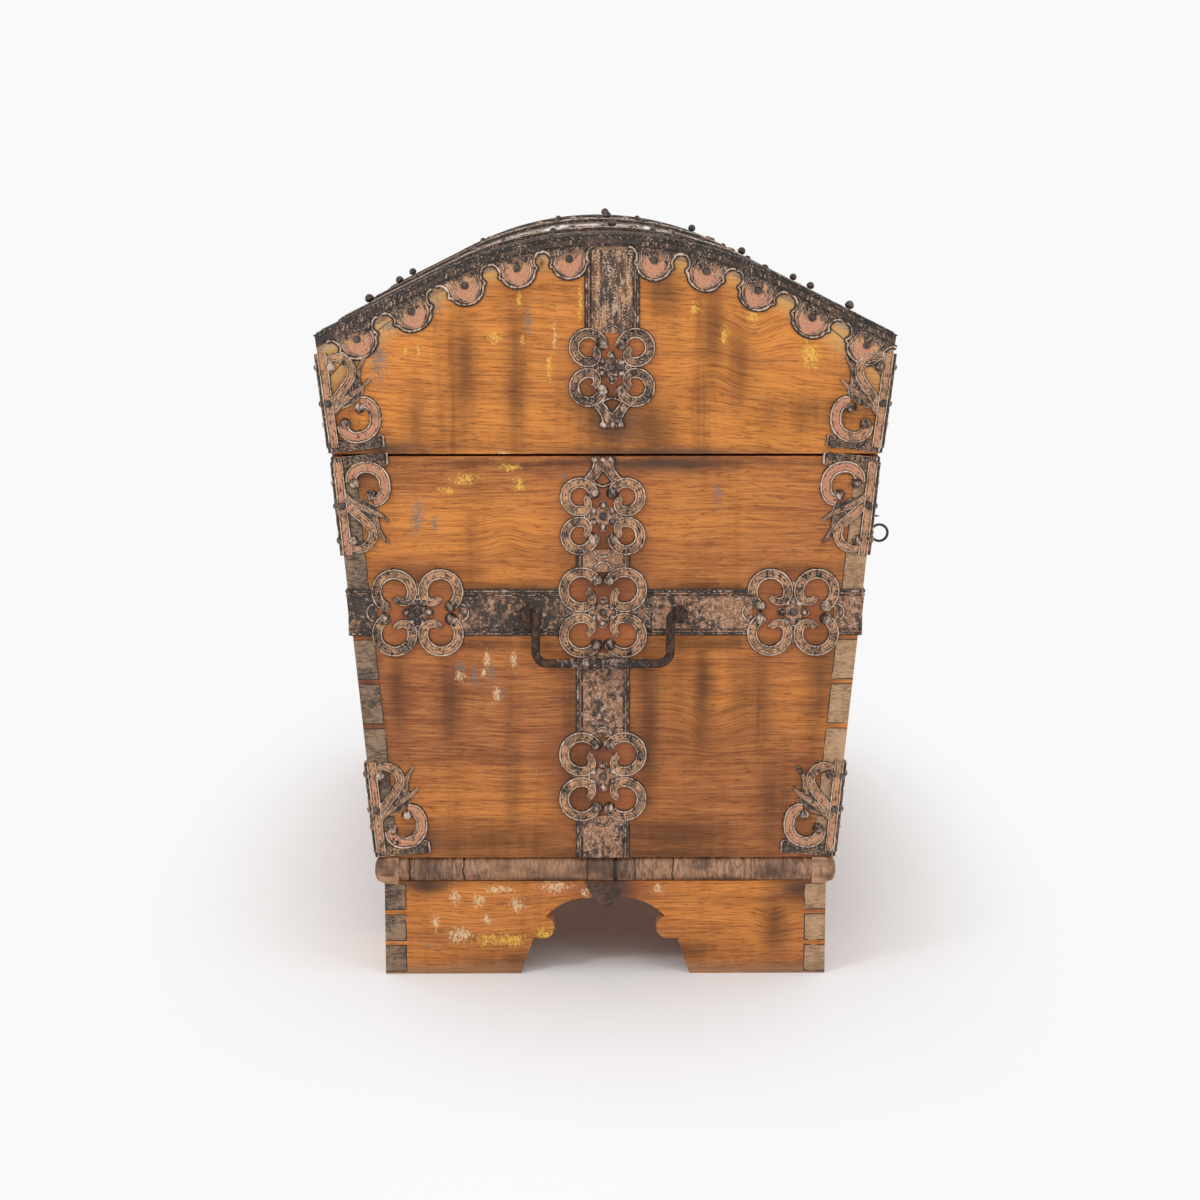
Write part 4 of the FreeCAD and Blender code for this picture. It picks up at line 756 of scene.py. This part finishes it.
SHEET_IRON = sheet_iron("iron_sheet", (1, 1, 1), 0.06, 0.03)
DARK_SHEET = sheet_iron("iron_dark_sheet", (1, 1, 1), 0.03, 0.03, 2.0, 0.56)
RUSTED_SHEET = sheet_iron("iron_rusted_sheet", (1, 1, 1), 0.12, 0.05, 6.0, 0.46)
SCRATCHED_IRON = sheet_iron("iron_scratched", (1, 1.2, 0.35), 0.04, 0.09, 4.0, 0.48)
BAND_IRON = sheet_iron("iron_bands", (0.5, 1, 1), -0.04, -0.04, 9.0, 0.56)
RELIEF_IRON = relief_iron("iron_relief")
NAIL_IRON = nail_iron("iron_nails", (0.11, 0.075, 0.060))
BAIL_IRON = nail_iron("iron_bail", (0.088, 0.046, 0.030), 0.16, 0.14)
KEY_IRON = nail_iron("iron_key", (0.05, 0.045, 0.042))

# Oak: old varnish, drips, dark stains and flakes of paint, with painted shade along the ironwork's edges,
# under the lid's rim and under the moulding

HONEY = (0.685, 0.240, 0.046)
OAK = (0.350, 0.116, 0.042)
RUSSET = (0.215, 0.062, 0.022)
UMBER = (0.100, 0.031, 0.011)
STAIN_AND_SHADE = (0.055, 0.021, 0.011)
PALE = (0.640, 0.300, 0.085)
REDDISH = (0.290, 0.082, 0.036)
BLUE = (0.120, 0.165, 0.165)
OCHRE = (0.780, 0.470, 0.080)
CHALK = (0.720, 0.540, 0.320)
BARE = (0.600, 0.350, 0.130)
DEEP_BROWN = (0.066, 0.036, 0.026)
DUST = (0.240, 0.150, 0.095)
TAN_ENDS = ((0.480, 0.300, 0.170), (0.250, 0.140, 0.075))
GREY_ENDS = ((0.300, 0.195, 0.120), (0.062, 0.046, 0.038))
SOOTY_ENDS = ((0.130, 0.072, 0.050), (0.052, 0.030, 0.022))

PAINTS = (("blue", BLUE, 0.7), ("ochre", OCHRE, 0.8), ("cream", CHALK, 0.85))

# How far from the dome's centre the varnish wears off an end, and where the top's gloss starts
RIM_BARE = ((DOME_RADIUS - 42) * MM, (DOME_RADIUS - 16) * MM)
COATED = ((DOME_RADIUS - 12) * MM, (DOME_RADIUS - 6) * MM)

# Marks on the left end: y, z and half sizes in millimetres, by kind; a knot has a radius and a lift. The
# stain strips along the straps' edges and just under the lid, the dark patches just under the lid's rim, and
# those just under the moulding on the plinth are painted shade; the rest are stains and dark patches of the
# wood.
BODY_MARKS = {
    "blue": ((153, 356, 5, 18), (168, 365, 8, 9), (134, 360, 5, 20), (216, 538, 12, 30),
             (196, 529, 5, 13), (123, 335, 4, 10), (51, 583, 4, 8), (-120, 560, 9, 16)),
    "ochre": ((162, 580, 21, 9), (182, 566, 13, 6), (101, 574, 9, 12), (112, 593, 20, 5)),
    "cream": ((169, 355, 7, 8), (139, 375, 5, 12), (142, 360, 5, 7), (128, 335, 5, 12),
              (108, 374, 5, 13)),
    "stain_and_shade": ((238, 335, 14, 60), (181, 335, 13, 56), (-163, 323, 22, 70), (35, 242, 36, 70),
              (-199, 207, 36, 70), (285, 585, 24, 36), (-60, 170, 100, 22), (120, 165, 100, 18),
              (3, 480, 44, 44), (-240, 330, 20, 90), (215, 470, 60, 12), (-211, 476, 60, 10),
              (46, 300, 16, 120), (-44, 290, 14, 120), (0, 148, 280, 12), (120, 456, 90, 8),
              (-110, 456, 90, 8), (130, 392, 90, 8), (-130, 392, 90, 8), (0, 597, 300, 5),
              (262, 250, 14, 80), (273, 360, 14, 80), (110, 260, 10, 90), (-105, 350, 10, 60)),
    "dark_patches": ((215, 165, 26, 16), (-222, 160, 22, 12), (292, 590, 26, 14), (-60, 596, 60, 10),
             (-285, 520, 14, 40)),
    "ground": ((3, 533, 46, 46), (3, 424, 50, 50), (3, 235, 48, 52), (211, 424, 52, 48),
               (-211, 424, 52, 48)),
    "knots": ((-120, 300, 30, 12), (110, 510, 22, -9)),
}
LID_MARKS = {
    "blue": ((256, 712, 15, 44), (240, 750, 16, 12), (193, 772, 15, 14), (90, 757, 6, 24),
             (-270, 723, 10, 22)),
    "ochre": ((211, 724, 3, 12), (225, 720, 3, 7), (97, 734, 3, 10), (128, 738, 12, 10),
              (100, 778, 4, 12), (67, 705, 4, 18), (34, 773, 3, 30), (-157, 760, 8, 12),
              (-222, 716, 13, 20), (-93, 768, 7, 9), (-126, 740, 5, 13)),
    "cream": ((118, 607, 9, 3), (60, 735, 3, 22)),
    "stain_and_shade": ((104, 696, 13, 95), (-115, 751, 14, 60), (-143, 707, 15, 50), (-49, 635, 30, 36),
              (17, 655, 40, 50), (160, 700, 14, 66), (-230, 650, 70, 24), (-60, 790, 18, 40),
              (215, 645, 16, 40)),
    "dark_patches": ((-60, 608, 120, 8), (250, 612, 50, 10), (75, 819, 4, 5), (-7, 640, 30, 26)),
    "ground": ((-7, 699, 44, 44),),
    "knots": ((-162, 735, 26, 16), (-120, 690, 24, -10)),
}
PLINTH_MARKS = {
    "blue": ((205, 40, 8, 6),),
    "ochre": ((72, 50, 16, 11), (112, 44, 26, 9), (140, 44, 20, 9)),
    "cream": ((178, 96, 9, 11), (150, 92, 10, 10), (126, 104, 22, 7), (172, 50, 17, 13),
              (199, 66, 9, 10), (106, 86, 11, 11), (62, 108, 24, 9), (28, 100, 6, 9), (-56, 104, 9, 8),
              (140, 68, 9, 8)),
    "stain_and_shade": ((-223, 101, 30, 18), (-190, 65, 15, 44), (212, 109, 24, 10), (110, 20, 70, 14),
              (-90, 30, 60, 14)),
    "dark_patches": ((-11, 104, 24, 16), (-11, 92, 20, 14), (-222, 106, 26, 9), (206, 110, 24, 6)),
    "ground": ((0, 100, 60, 12),),
    "knots": ((-190, 60, 18, 8),),
}


def stretched(axis, along, across):
    """A noise scale with one value along an axis and another on the other two."""
    return tuple(along if each == axis else across for each in range(3))


def oak(name, grain, seed=0.0, marks=None, drips=0.8, gloss=0.0, tone=0.0, ends=TAN_ENDS, rim=False,
        foot=False, slope=0.0):
    """Old varnished oak with its grain along the axis grain, and end grain where a board's end shows."""
    tree = Tree(name)
    shift = (seed * 3.1, seed * 5.3, seed * 7.7)
    wavy = tree.node("ShaderNodeMapping", Vector=tree.warped(3.2, 0.026), Rotation=(slope, 0, 0)).outputs[0]
    if marks:
        for y, z, radius, lift in marks["knots"]:
            swell = tree.times(tree.spot(tree.place, y, z, radius, radius), lift * MM)
            wavy = tree.vector("ADD", wavy, tree.node("ShaderNodeCombineXYZ", Z=swell).outputs[0])

    broad = tree.noise(stretched(grain, 1.8, 6.0), 4, 0.6, shift=shift)
    strips = tree.noise(stretched(grain, 2.0, 70), 1, 0.5, 0.4, shift, wavy)
    lines = tree.noise(stretched(grain, 16, 560), 2, 0.6, 0.2, shift, wavy)
    dashes = tree.step(tree.noise(stretched(grain, 70, 620), 2, 0.5, 0, shift, wavy), 0.56, 0.66)
    cloud = tree.noise((6, 6, 6), 4, 0.6, 0, shift)
    wide_runs = tree.noise((15, 15, 1.1), 3, 0.6, 0.3, shift)
    runs = tree.blend(wide_runs, tree.noise((52, 52, 2.4), 3, 0.6, 0.3, shift), 0.65)
    colour = tree.mix(tree.step(tree.add(broad, tone), 0.24, 0.76), OAK, HONEY)
    colour = tree.over(colour, RUSSET, tree.step(strips, 0.40, 0.72), 0.36)
    colour = tree.over(colour, PALE, tree.step(lines, 0.50, 0.32), 0.36)
    colour = tree.over(colour, UMBER, tree.step(lines, 0.48, 0.66), 0.42)
    colour = tree.over(colour, STAIN_AND_SHADE, dashes, 0.40)
    colour = tree.over(colour, UMBER, tree.step(runs, 0.46, 0.68), tree.step(cloud, 0.32, 0.58), drips)

    normal_x, normal_y, _ = tree.split(tree.facing)
    end_on = tree.step(tree.math("ABSOLUTE", normal_x if grain == 0 else normal_y), 0.6, 0.85)
    rings = tree.noise((60, 130, 420), 4, 0.62, 0.6, shift)
    blots = tree.noise((22, 22, 22), 4, 0.64, 0, shift)
    sawn = tree.mix(tree.step(tree.blend(rings, blots, 0.5), 0.40, 0.60), *ends)
    colour = tree.over(colour, sawn, end_on)

    from_centre = tree.vector("SUBTRACT", tree.place, (0, 0, DOME_CENTRE * MM))
    away = tree.vector("LENGTH", tree.vector("MULTIPLY", from_centre, (0, 1, 1)))
    if rim:
        bare = tree.step(tree.add(away, tree.centred(cloud, 0.02)), *RIM_BARE)
        colour = tree.over(colour, BARE, bare, 0.8)
        from_joint = tree.math("ABSOLUTE", tree.math("SUBTRACT", away, (DOME_RADIUS - STAVE_JOINT) * MM))
        joint = tree.step(tree.add(from_joint, tree.centred(blots, 0.002)), 1.1 * MM, 0.4 * MM)
        colour = tree.over(colour, DEEP_BROWN, joint, 0.85)
    if marks:
        outside = tree.step(normal_x, -0.3, -0.6)
        shaken = tree.warped(26, 0.009)
        flecks = tree.noise((400, 400, 300), 5, 0.74, 0.8, shift)
        streaks = tree.step(tree.add(runs, tree.centred(cloud, 0.6)), 0.16, 0.54)
        colour = tree.over(colour, REDDISH, tree.spots(tree.place, marks["ground"]), outside, 0.95)
        # Stains and dark patches; where they lie beside the ironwork, under the lid's rim or under the
        # moulding they are painted shade
        colour = tree.over(colour, STAIN_AND_SHADE, tree.spots(shaken, marks["stain_and_shade"]), streaks, outside, 0.72)
        colour = tree.over(colour, DEEP_BROWN, tree.spots(shaken, marks["dark_patches"]), outside, 0.85)
        for kind, paint, strength in PAINTS:
            flaked = tree.add(tree.times(tree.spots(shaken, marks[kind]), 0.24), flecks)
            colour = tree.over(colour, paint, tree.step(flaked, 0.66, 0.75), outside, strength)
    if foot:
        low = tree.step(tree.add(tree.split(tree.place)[2], tree.centred(cloud, 0.02)), 0.018, 0.002)
        colour = tree.over(colour, DUST, low, 0.6)
    height = tree.add(tree.times(dashes, -0.6), tree.times(lines, 0.8))
    roughness = tree.math("MULTIPLY_ADD", lines, 0.25, 0.40 - 0.2 * gloss)
    coat = tree.times(tree.step(away, *COATED), gloss) if gloss else 0
    return tree.finish(colour, roughness, tree.bump(height, 0.0006, 0.45), Specular_IOR_Level=0.22,
                       Coat_Weight=coat, Coat_Roughness=0.06)


# Veneer on the moulding: short cross-grained lengths with open cracks, given by place and half width

END_CRACKS = ((223.5, 1.2), (162, 0.9), (21, 0.9), (-10.6, 2.6), (-33.6, 0.8), (-76.8, 0.8))
# Dark patches on the end mouldings, by y, z and half sizes; the two long thin ones along the bottom are
# painted shade
END_PATCHES = ((198, 125, 22, 14), (-8, 128, 30, 14), (-192, 124, 26, 12), (245, 118, 12, 14),
               (262, 132, 8, 10), (60, 112, 60, 4), (-120, 112, 60, 4))
LONG_CRACKS = tuple((77 * step + 9 * (step % 3), 0.8 + 0.5 * (step % 2)) for step in range(-7, 8))
VENEER_DARK, VENEER_LIGHT = (0.165, 0.082, 0.047), (0.470, 0.262, 0.158)
VENEER_WARM, VENEER_DIRT = (0.350, 0.180, 0.095), (0.070, 0.038, 0.025)
CRACK, GAP_BLACK, GAP_BROWN = (0.028, 0.017, 0.012), (0.012, 0.008, 0.006), (0.075, 0.045, 0.030)


def veneer(name, run, cracks, patches=()):
    tree = Tree(name)
    grain = tree.noise(stretched(run, 230, 60), 4, 0.66, 0.5)
    blocks = tree.noise(stretched(run, 11, 1), 2, 0.5)
    cloud = tree.noise((16, 16, 30), 4, 0.62)
    place = tree.add(tree.split(tree.place)[run], tree.centred(tree.noise((60, 60, 60), 2), 0.006))
    gaps = [tree.step(tree.math("ABSOLUTE", tree.math("SUBTRACT", place, middle * MM)),
                      half * 1.3 * MM, half * 0.5 * MM) for middle, half in cracks]
    open_cracks = tree.most(*gaps)
    colour = tree.mix(tree.step(grain, 0.36, 0.64), VENEER_DARK, VENEER_LIGHT)
    colour = tree.over(colour, VENEER_WARM, tree.step(blocks, 0.42, 0.60), 0.5)
    colour = tree.over(colour, VENEER_DIRT, tree.step(cloud, 0.46, 0.66), 0.8)
    if patches:
        # dark patches, the thin ones along the moulding's bottom being painted shade
        colour = tree.over(colour, DEEP_BROWN, tree.spots(tree.place, patches), 0.8)
    colour = tree.over(colour, CRACK, open_cracks)
    height = tree.add(grain, tree.times(open_cracks, -3))
    return tree.finish(colour, 0.42, tree.bump(height, 0.0006, 0.6), Specular_IOR_Level=0.3)


def gap_dark(name):
    tree = Tree(name)
    colour = tree.mix(tree.noise((300, 300, 300)), GAP_BLACK, GAP_BROWN)
    return tree.finish(colour, 0.8)


GAP_DARK = gap_dark("gap_dark")
VENEER_Y = veneer("veneer_ends", 1, END_CRACKS, END_PATCHES)
VENEER_X = veneer("veneer_long", 0, LONG_CRACKS)
SOOTY_OAK = oak("oak_sooty", 0, 13.0, tone=-0.8, drips=1.4, ends=SOOTY_ENDS)

# Material of each node of the frame, by the start of its name

NODE_LOOKS = (
    (("left_end_strap", "left_cross_strap_front"), RUSTED_SHEET),
    ("left_cross_strap_back", DARK_SHEET),
    ("right_end_strap", SHEET_IRON),
    (("left_lid_end_strap", "right_lid_end_strap"), SCRATCHED_IRON),
    (("lid_strap", "left_lid_edging", "right_lid_edging"), BAND_IRON),
    (("lid_nails", "carcass_nails", "hinge_pins", "lock_bolt"), NAIL_IRON),
    (("left_bail", "right_bail", "handle_eyes"), BAIL_IRON),
    ("key", KEY_IRON),
    ("left_end", oak("oak_left_end", 1, 0.0, BODY_MARKS, drips=0.45, tone=-0.04)),
    ("right_end", oak("oak_right_end", 1, 3.0)),
    ("front_board", oak("oak_front", 0, 2.0)),
    ("back_board", oak("oak_back", 0, 4.0, ends=GREY_ENDS)),
    ("lid_left_end", oak("oak_lid_left", 1, 5.0, LID_MARKS, tone=0.32, rim=True, slope=-0.07)),
    ("lid_right_end", oak("oak_lid_right", 1, 7.0, tone=0.22, rim=True, slope=0.07)),
    (("lid_front_rail", "lid_back_rail"), oak("oak_lid_rails", 0, 14.0, tone=0.05)),
    (("lid_front_flank", "lid_back_flank", "lid_crown"),
     oak("oak_lid_top", 0, 6.0, drips=0.3, gloss=1.0, tone=0.05)),
    ("plinth_left", oak("oak_plinth_left", 1, 8.0, PLINTH_MARKS, drips=0.3, foot=True)),
    ("plinth_right", oak("oak_plinth_right", 1, 9.0, foot=True)),
    (("plinth_front", "bottom_board"), oak("oak_plinth_front", 0, 10.0, foot=True)),
    ("plinth_back", oak("oak_plinth_back", 0, 12.0, ends=GREY_ENDS, foot=True)),
    ("plinth", oak("oak_dark", 0, 11.0, tone=-0.4, drips=1.0, ends=GREY_ENDS)),
    (("base_moulding_left", "base_moulding_right"), VENEER_Y),
    ("base_moulding", VENEER_X),
    ("", SHEET_IRON),
)
for name, piece in nodes.items():
    look = next(material for starts, material in NODE_LOOKS if name.startswith(starts))
    piece.data.materials.clear()
    piece.data.materials.append(look)

# Worn edges on the boards, which also open the joints between them, and on the bails' eyes

BOARDS = ("front_board", "back_board", "left_end", "right_end", "lid_left_end", "lid_right_end",
          "lid_front_rail", "lid_back_rail")
WORN_EDGES = ((BOARDS, 1.2), ("plinth", 1.6), ("handle_eyes", 2.2))
EDGE_ANGLE = math.radians(40)
for name, piece in nodes.items():
    for starts, worn in WORN_EDGES:
        if name.startswith(starts) and not name.endswith("strap"):
            bevel = piece.modifiers.new("worn_edges", "BEVEL")
            bevel.width = worn * MM
            bevel.segments = 2
            bevel.limit_method = "ANGLE"
            bevel.angle_limit = EDGE_ANGLE
            bevel.use_clamp_overlap = True

# Relief on the two ends of the body

FLOWER_REACH = LARGE.along + LARGE.radius
STRAP_NOTCH = ((31, 0), (38, -5), (45, -11), (57, -24), (57, 24), (45, 11), (38, 5))
TOP_FLOWER = BODY_FLOWERS[-1][0]
STRAP_TOP = TOP_FLOWER - SMALL.along - SMALL.radius
CROSS_START, CROSS_END = 50, 287
for side, name in SIDES:
    relief = Relief()
    end = end_face(side)
    middle = Moved(end, (END_STRAP_SHIFT, BODY_BASE))
    strap(relief, middle, END_STRAP, 0, STRAP_TOP, BODY_FLOWERS)
    finial(relief, Moved(middle, (0, TOP_FLOWER)))
    for way in (-1, 1):
        notch = handed(end, way, (END_STRAP_SHIFT, CROSS_LEVEL))
        relief.slab(notch, STRAP_NOTCH, 0.35, high=1.4, edge=0.1)
    across = Moved(end, (0, CROSS_LEVEL), (0, 1), (1, 0))
    for way in (-1, 1):
        flower(relief, Moved(end, (way * SIDE_FLOWER, CROSS_LEVEL)), LARGE)
        inner = (way * CROSS_START + END_STRAP_SHIFT, way * (SIDE_FLOWER - FLOWER_REACH))
        outer = (way * (SIDE_FLOWER + FLOWER_REACH), way * CROSS_END)
        for stretch in (inner, outer):
            strap_beads(relief, across, CROSS_STRAP, min(stretch), max(stretch))
    relief.built(f"{name}_end_relief", RELIEF_IRON, "carcass")

# Relief on the front and back of the body, and a half-drawn nail near the front left corner

WRAP_END, WRAP_STEPS = 134, 12
LOCK_LEVEL = 438
HINGE_STRAP_TOP = 440
DRAWN_NAIL = (-540, 388)
SHIELD_EDGE = ((0, 58), (20, 58), (40, 58), (40, 30), (40, 0), (37.5, -14), (30, -27), (19.5, -36),
               (19.5, -47), (19.5, -58), (0, -58))
SHIELD_SCROLL = arc(23, 32, 11, -120, 150)
SHIELD_BALL = (17.5, 22.5, 4.2, 4.6)
SHIELD_STEM = curve(((13, -50), (15, -36), (24, -22), (32, -8), (32, 6)))


def wrapped_end(relief, face):
    """Raised lines round the end of a strap that turns the corner, with u running in from the corner."""
    for inset, half_line in EDGE_LINES:
        half = CROSS_STRAP / 2 - inset
        edge = [(WRAP_END * step / WRAP_STEPS, half) for step in range(WRAP_STEPS)]
        tip = arc(WRAP_END, 0, half, 90, -90)
        relief.band(face, edge + tip + [(u, -v) for u, v in reversed(edge)], half_line, EDGE_BEAD)


def shield(relief, face):
    """Raised edge and scrolls on the lock's plate, about the keyhole."""
    for side in (-1, 1):
        half = handed(face, side)
        relief.band(half, SHIELD_EDGE, 1.8, BEAD)
        relief.band(half, SHIELD_SCROLL, 3.2, RIBBED, 2.0, red=0.4)
        relief.boss(half, *SHIELD_BALL, BALL_CROWN, BALL_FOOT)
        relief.band(half, SHIELD_STEM, 1.6, BEAD)


LONG_RELIEFS = ((-1, "front", BODY_FLOWERS, STRAP_TOP), (1, "back", BODY_FLOWERS[:2], HINGE_STRAP_TOP))
for side, name, flowers, top in LONG_RELIEFS:
    relief = Relief()
    board = long_face(side, BASE_HALF, BODY_BASE, LEAN)
    for x in (-LONG_STRAP_X, LONG_STRAP_X):
        middle = Moved(board, (x, 0))
        strap(relief, middle, LONG_STRAP, 0, top, flowers)
        if side < 0:
            finial(relief, Moved(middle, (0, TOP_FLOWER)))
    for end in (-1, 1):
        corner = (end * HALF, (CROSS_LEVEL - BODY_BASE) / math.cos(LEAN))
        wrapped_end(relief, handed(board, -end, corner))
    if side < 0:
        shield(relief, Moved(board, (0, (LOCK_LEVEL - BODY_BASE) / math.cos(LEAN))))
        relief.boss(board, *DRAWN_NAIL, 1.9, 17, 0.5)
    relief.built(f"{name}_relief", RELIEF_IRON, "carcass")

# Dark gaps round the tails, by a board's reach, half depth, lean, base, height and number of tails

GAP = mirrored(((-1, -1.94, 0),), (0, -1.86, 0))
GAP_WIDTH = 0.6
TAIL_GAP, TAIL_LENGTH = 6, 24
TAIL_STEPS, TAIL_RISE_STEPS = 6, 8
COMBS = ((HALF, BASE_HALF, LEAN, BODY_BASE, BODY_TOP - BODY_BASE, 9),
         (PLINTH_LONG, PLINTH_DEEP, 0, 0, PLINTH_HEIGHT, 3))
joints = Relief()
for x_side, y_side in CORNERS:
    for reach, half_depth, lean, base, height, count in COMBS:
        board = Face((x_side * reach, y_side * half_depth, base), (0, -y_side, 0),
                     (0, y_side * math.tan(lean), 1), (x_side, 0, 0))
        for index in range(count):
            low = height * index / count + TAIL_GAP / 2
            high = height * (index + 1) / count - TAIL_GAP / 2
            for rise in (low, high):
                edge = [(TAIL_LENGTH * step / TAIL_STEPS, rise) for step in range(TAIL_STEPS + 1)]
                joints.band(board, edge, GAP_WIDTH, GAP)
            joints.band(board, straight(TAIL_LENGTH, low, high, TAIL_RISE_STEPS), GAP_WIDTH, GAP)
joints.built("tail_gaps", GAP_DARK, "carcass")

# A drop in the middle of each plinth arch, and a rounded block at each corner of the base moulding

DROP = both_sides(((-24, 109.6), (-20, 101), (-17, 96), (-14.5, 90.5), (-11.5, 85), (-7, 81), (0, 79.4)))
drops = Relief()
for side in (-1, 1):
    for board in (Face((side * PLINTH_LONG, 0, 0), (0, -side, 0), (0, 0, 1), (side, 0, 0)),
                  Face((0, side * PLINTH_DEEP, 0), (side, 0, 0), (0, 0, 1), (0, side, 0))):
        drops.slab(board, DROP, low=-22, high=0.5, edge=0.2)
drops.built("plinth_drops", SOOTY_OAK, "carcass")

BLOCK_ROWS, BLOCK_AROUND, BLOCK_ROUND = 12, 28, 0.38
BLOCK_SLANT, BLOCK_PROUD = math.radians(80), 0.6
blocks = Relief()
for x_side, y_side in CORNERS:
    inset = BLOCK_HALF - BLOCK_PROUD
    middle = (x_side * (MOULDING_LONG - inset), y_side * (MOULDING_DEEP - inset), 0)
    floor_plan = Face(middle, (1, 0, 0), (0, 1, 0), (0, 0, 1))
    rows = []
    for row in range(BLOCK_ROWS + 1):
        slant = BLOCK_SLANT * (2 * row / BLOCK_ROWS - 1)
        wide = BLOCK_HALF * abs(math.cos(slant)) ** BLOCK_ROUND
        rise = PLINTH_HEIGHT + MOULDING_HEIGHT * (0.5 + 0.49 * math.sin(slant))
        rows.append([blocks.point(floor_plan, wide * rounded(math.cos(turn), BLOCK_ROUND),
                                  wide * rounded(math.sin(turn), BLOCK_ROUND), rise, 0, 0)
                     for turn in turns(BLOCK_AROUND)])
    blocks.tube(floor_plan, rows, capped=True)
blocks.built("moulding_corner_blocks", VENEER_Y, "carcass")

# Swollen grip on each bail, by its radius and wear at distances from its middle; the wear rises on the bulbs
# as a painted highlight

GRIP = mirrored(((-58.5, 4.6, 0.46), (-50, 5.2, 0.50), (-34, 5.5, 0.54), (-22, 5.9, 0.55),
                 (-17.5, 6.5, 0.57), (-14, 7.3, 0.61), (-10, 7.8, 0.63), (-7, 7.3, 0.57),
                 (-4.2, 6.1, 0.45), (-2.4, 5.5, 0.44)), (0, 5.3, 0.56))
GRIP_OUT, GRIP_LEVEL, GRIP_AROUND, GRIP_RED = 15, 368, 20, 0.2
for side, name in SIDES:
    grip = Relief()
    middle = Moved(end_face(side), (END_STRAP_SHIFT, GRIP_LEVEL))
    rows = []
    for along, radius, wear in GRIP:
        rows.append([grip.point(middle, along, radius * math.cos(turn), GRIP_OUT + radius * math.sin(turn),
                                wear, GRIP_RED) for turn in turns(GRIP_AROUND)])
    grip.tube(middle, rows, capped=True)
    grip.built(f"{name}_bail_grip", RELIEF_IRON, f"{name}_handle")

# Corner mounts

MOUNTS = (
    ("upper_corner_mounts", BODY_TOP - 0.5, TOP_HALF, LEAN, False, "carcass"),
    ("lower_corner_mounts", BODY_BASE + 0.5, BASE_HALF, LEAN, True, "carcass"),
    ("lid_corner_mounts", LID_BASE + 0.5, LID_FOOT_HALF, LID_LEAN, True, "lid"),
)
for node, z, half_depth, lean, upward, body in MOUNTS:
    relief = Relief()
    for x_side, y_side in CORNERS:
        for face in corner_faces(x_side, y_side, z, half_depth, lean, upward):
            corner_mount(relief, face)
    piece = relief.built(f"{node}_relief", RELIEF_IRON, body)
    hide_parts(node)

# Relief on the lid: end straps, lobed edging, bands over the dome

LID_FLOWERS = ((LID_FLOWER_RISE, SMALL, (1,)),)
for side, name in SIDES:
    relief = Relief()
    middle = Moved(end_face(side), (LID_STRAP_SHIFT, LID_BASE))
    strap(relief, middle, END_STRAP, LID_FLOWER_RISE, LID_STRAP_TOP, LID_FLOWERS, LID_FLOWER_RED)
    finial(relief, Moved(middle, (0, LID_FLOWER_RISE), (-1, 0), (0, -1)))
    dome_edging(relief, side)
    relief.built(f"{name}_lid_relief", RELIEF_IRON, "lid")

LID_FLOWER_STEP = 122
RAIL_HIGH = 127
RAILS = ((-1, 3, ((64, LARGE, ()),)), (1, 14, ()))
BAND_END, BAND_STEPS = 340, 24
BAND_LINES = ((26.8, 1.8), (22, 1.1))
END_BAND_EDGE, END_BAND_STEPS = 29, 80
relief = Relief()
for x in (-LONG_STRAP_X, LONG_STRAP_X):
    top = DomeTop(x)
    for side in (-1, 1):
        for way in (-1, 1):
            stretch = (way * (LID_FLOWER_STEP + FLOWER_REACH), way * BAND_END)
            for place, half_line in BAND_LINES:
                line = straight(side * place, min(stretch), max(stretch), BAND_STEPS)
                relief.band(top, line, half_line, BEAD)
    for place in (-LID_FLOWER_STEP, 0, LID_FLOWER_STEP):
        flower(relief, upright(top, 0, place), LARGE)
    for side, low, flowers in RAILS:
        rail = Moved(long_face(side, LID_FOOT_HALF, LID_BASE, LID_LEAN), (x, 0))
        strap(relief, rail, LONG_STRAP, low, RAIL_HIGH, flowers)
for x in (-END_BAND_X, END_BAND_X):
    for side in (-1, 1):
        line = straight(side * END_BAND_EDGE, -BAND_END, BAND_END, END_BAND_STEPS)
        relief.band(DomeTop(x), line, 1.9, DULL_BEAD, red=0.0)
relief.built("lid_band_relief", RELIEF_IRON, "lid")

# Ball-headed studs on the bands, by the band's x and their distances over the dome

STUDS = ((-LONG_STRAP_X, (301, -11, -320)), (LONG_STRAP_X, (301, -11, -209, -320)),
         (END_BAND_X, (301, -11, -146, -320)))
# A stud's neck and the two halves of its ball, by radius, height, wear at the crown and foot, and base
STUD_ROUNDS = ((3.4, 7.0, 0.4, 0.4, SHEET - 0.4), (5.8, 6.2, 0.5, 0.4, SHEET + 5.2),
               (5.8, -4.0, 0.4, 0.4, SHEET + 5.2))
studs = Relief()
for x, places in STUDS:
    for place in places:
        top = Moved(DomeTop(x), (0, place))
        for stud_round in STUD_ROUNDS:
            studs.boss(top, 0, 0, *stud_round)
studs.built("lid_band_studs", NAIL_IRON, "lid")
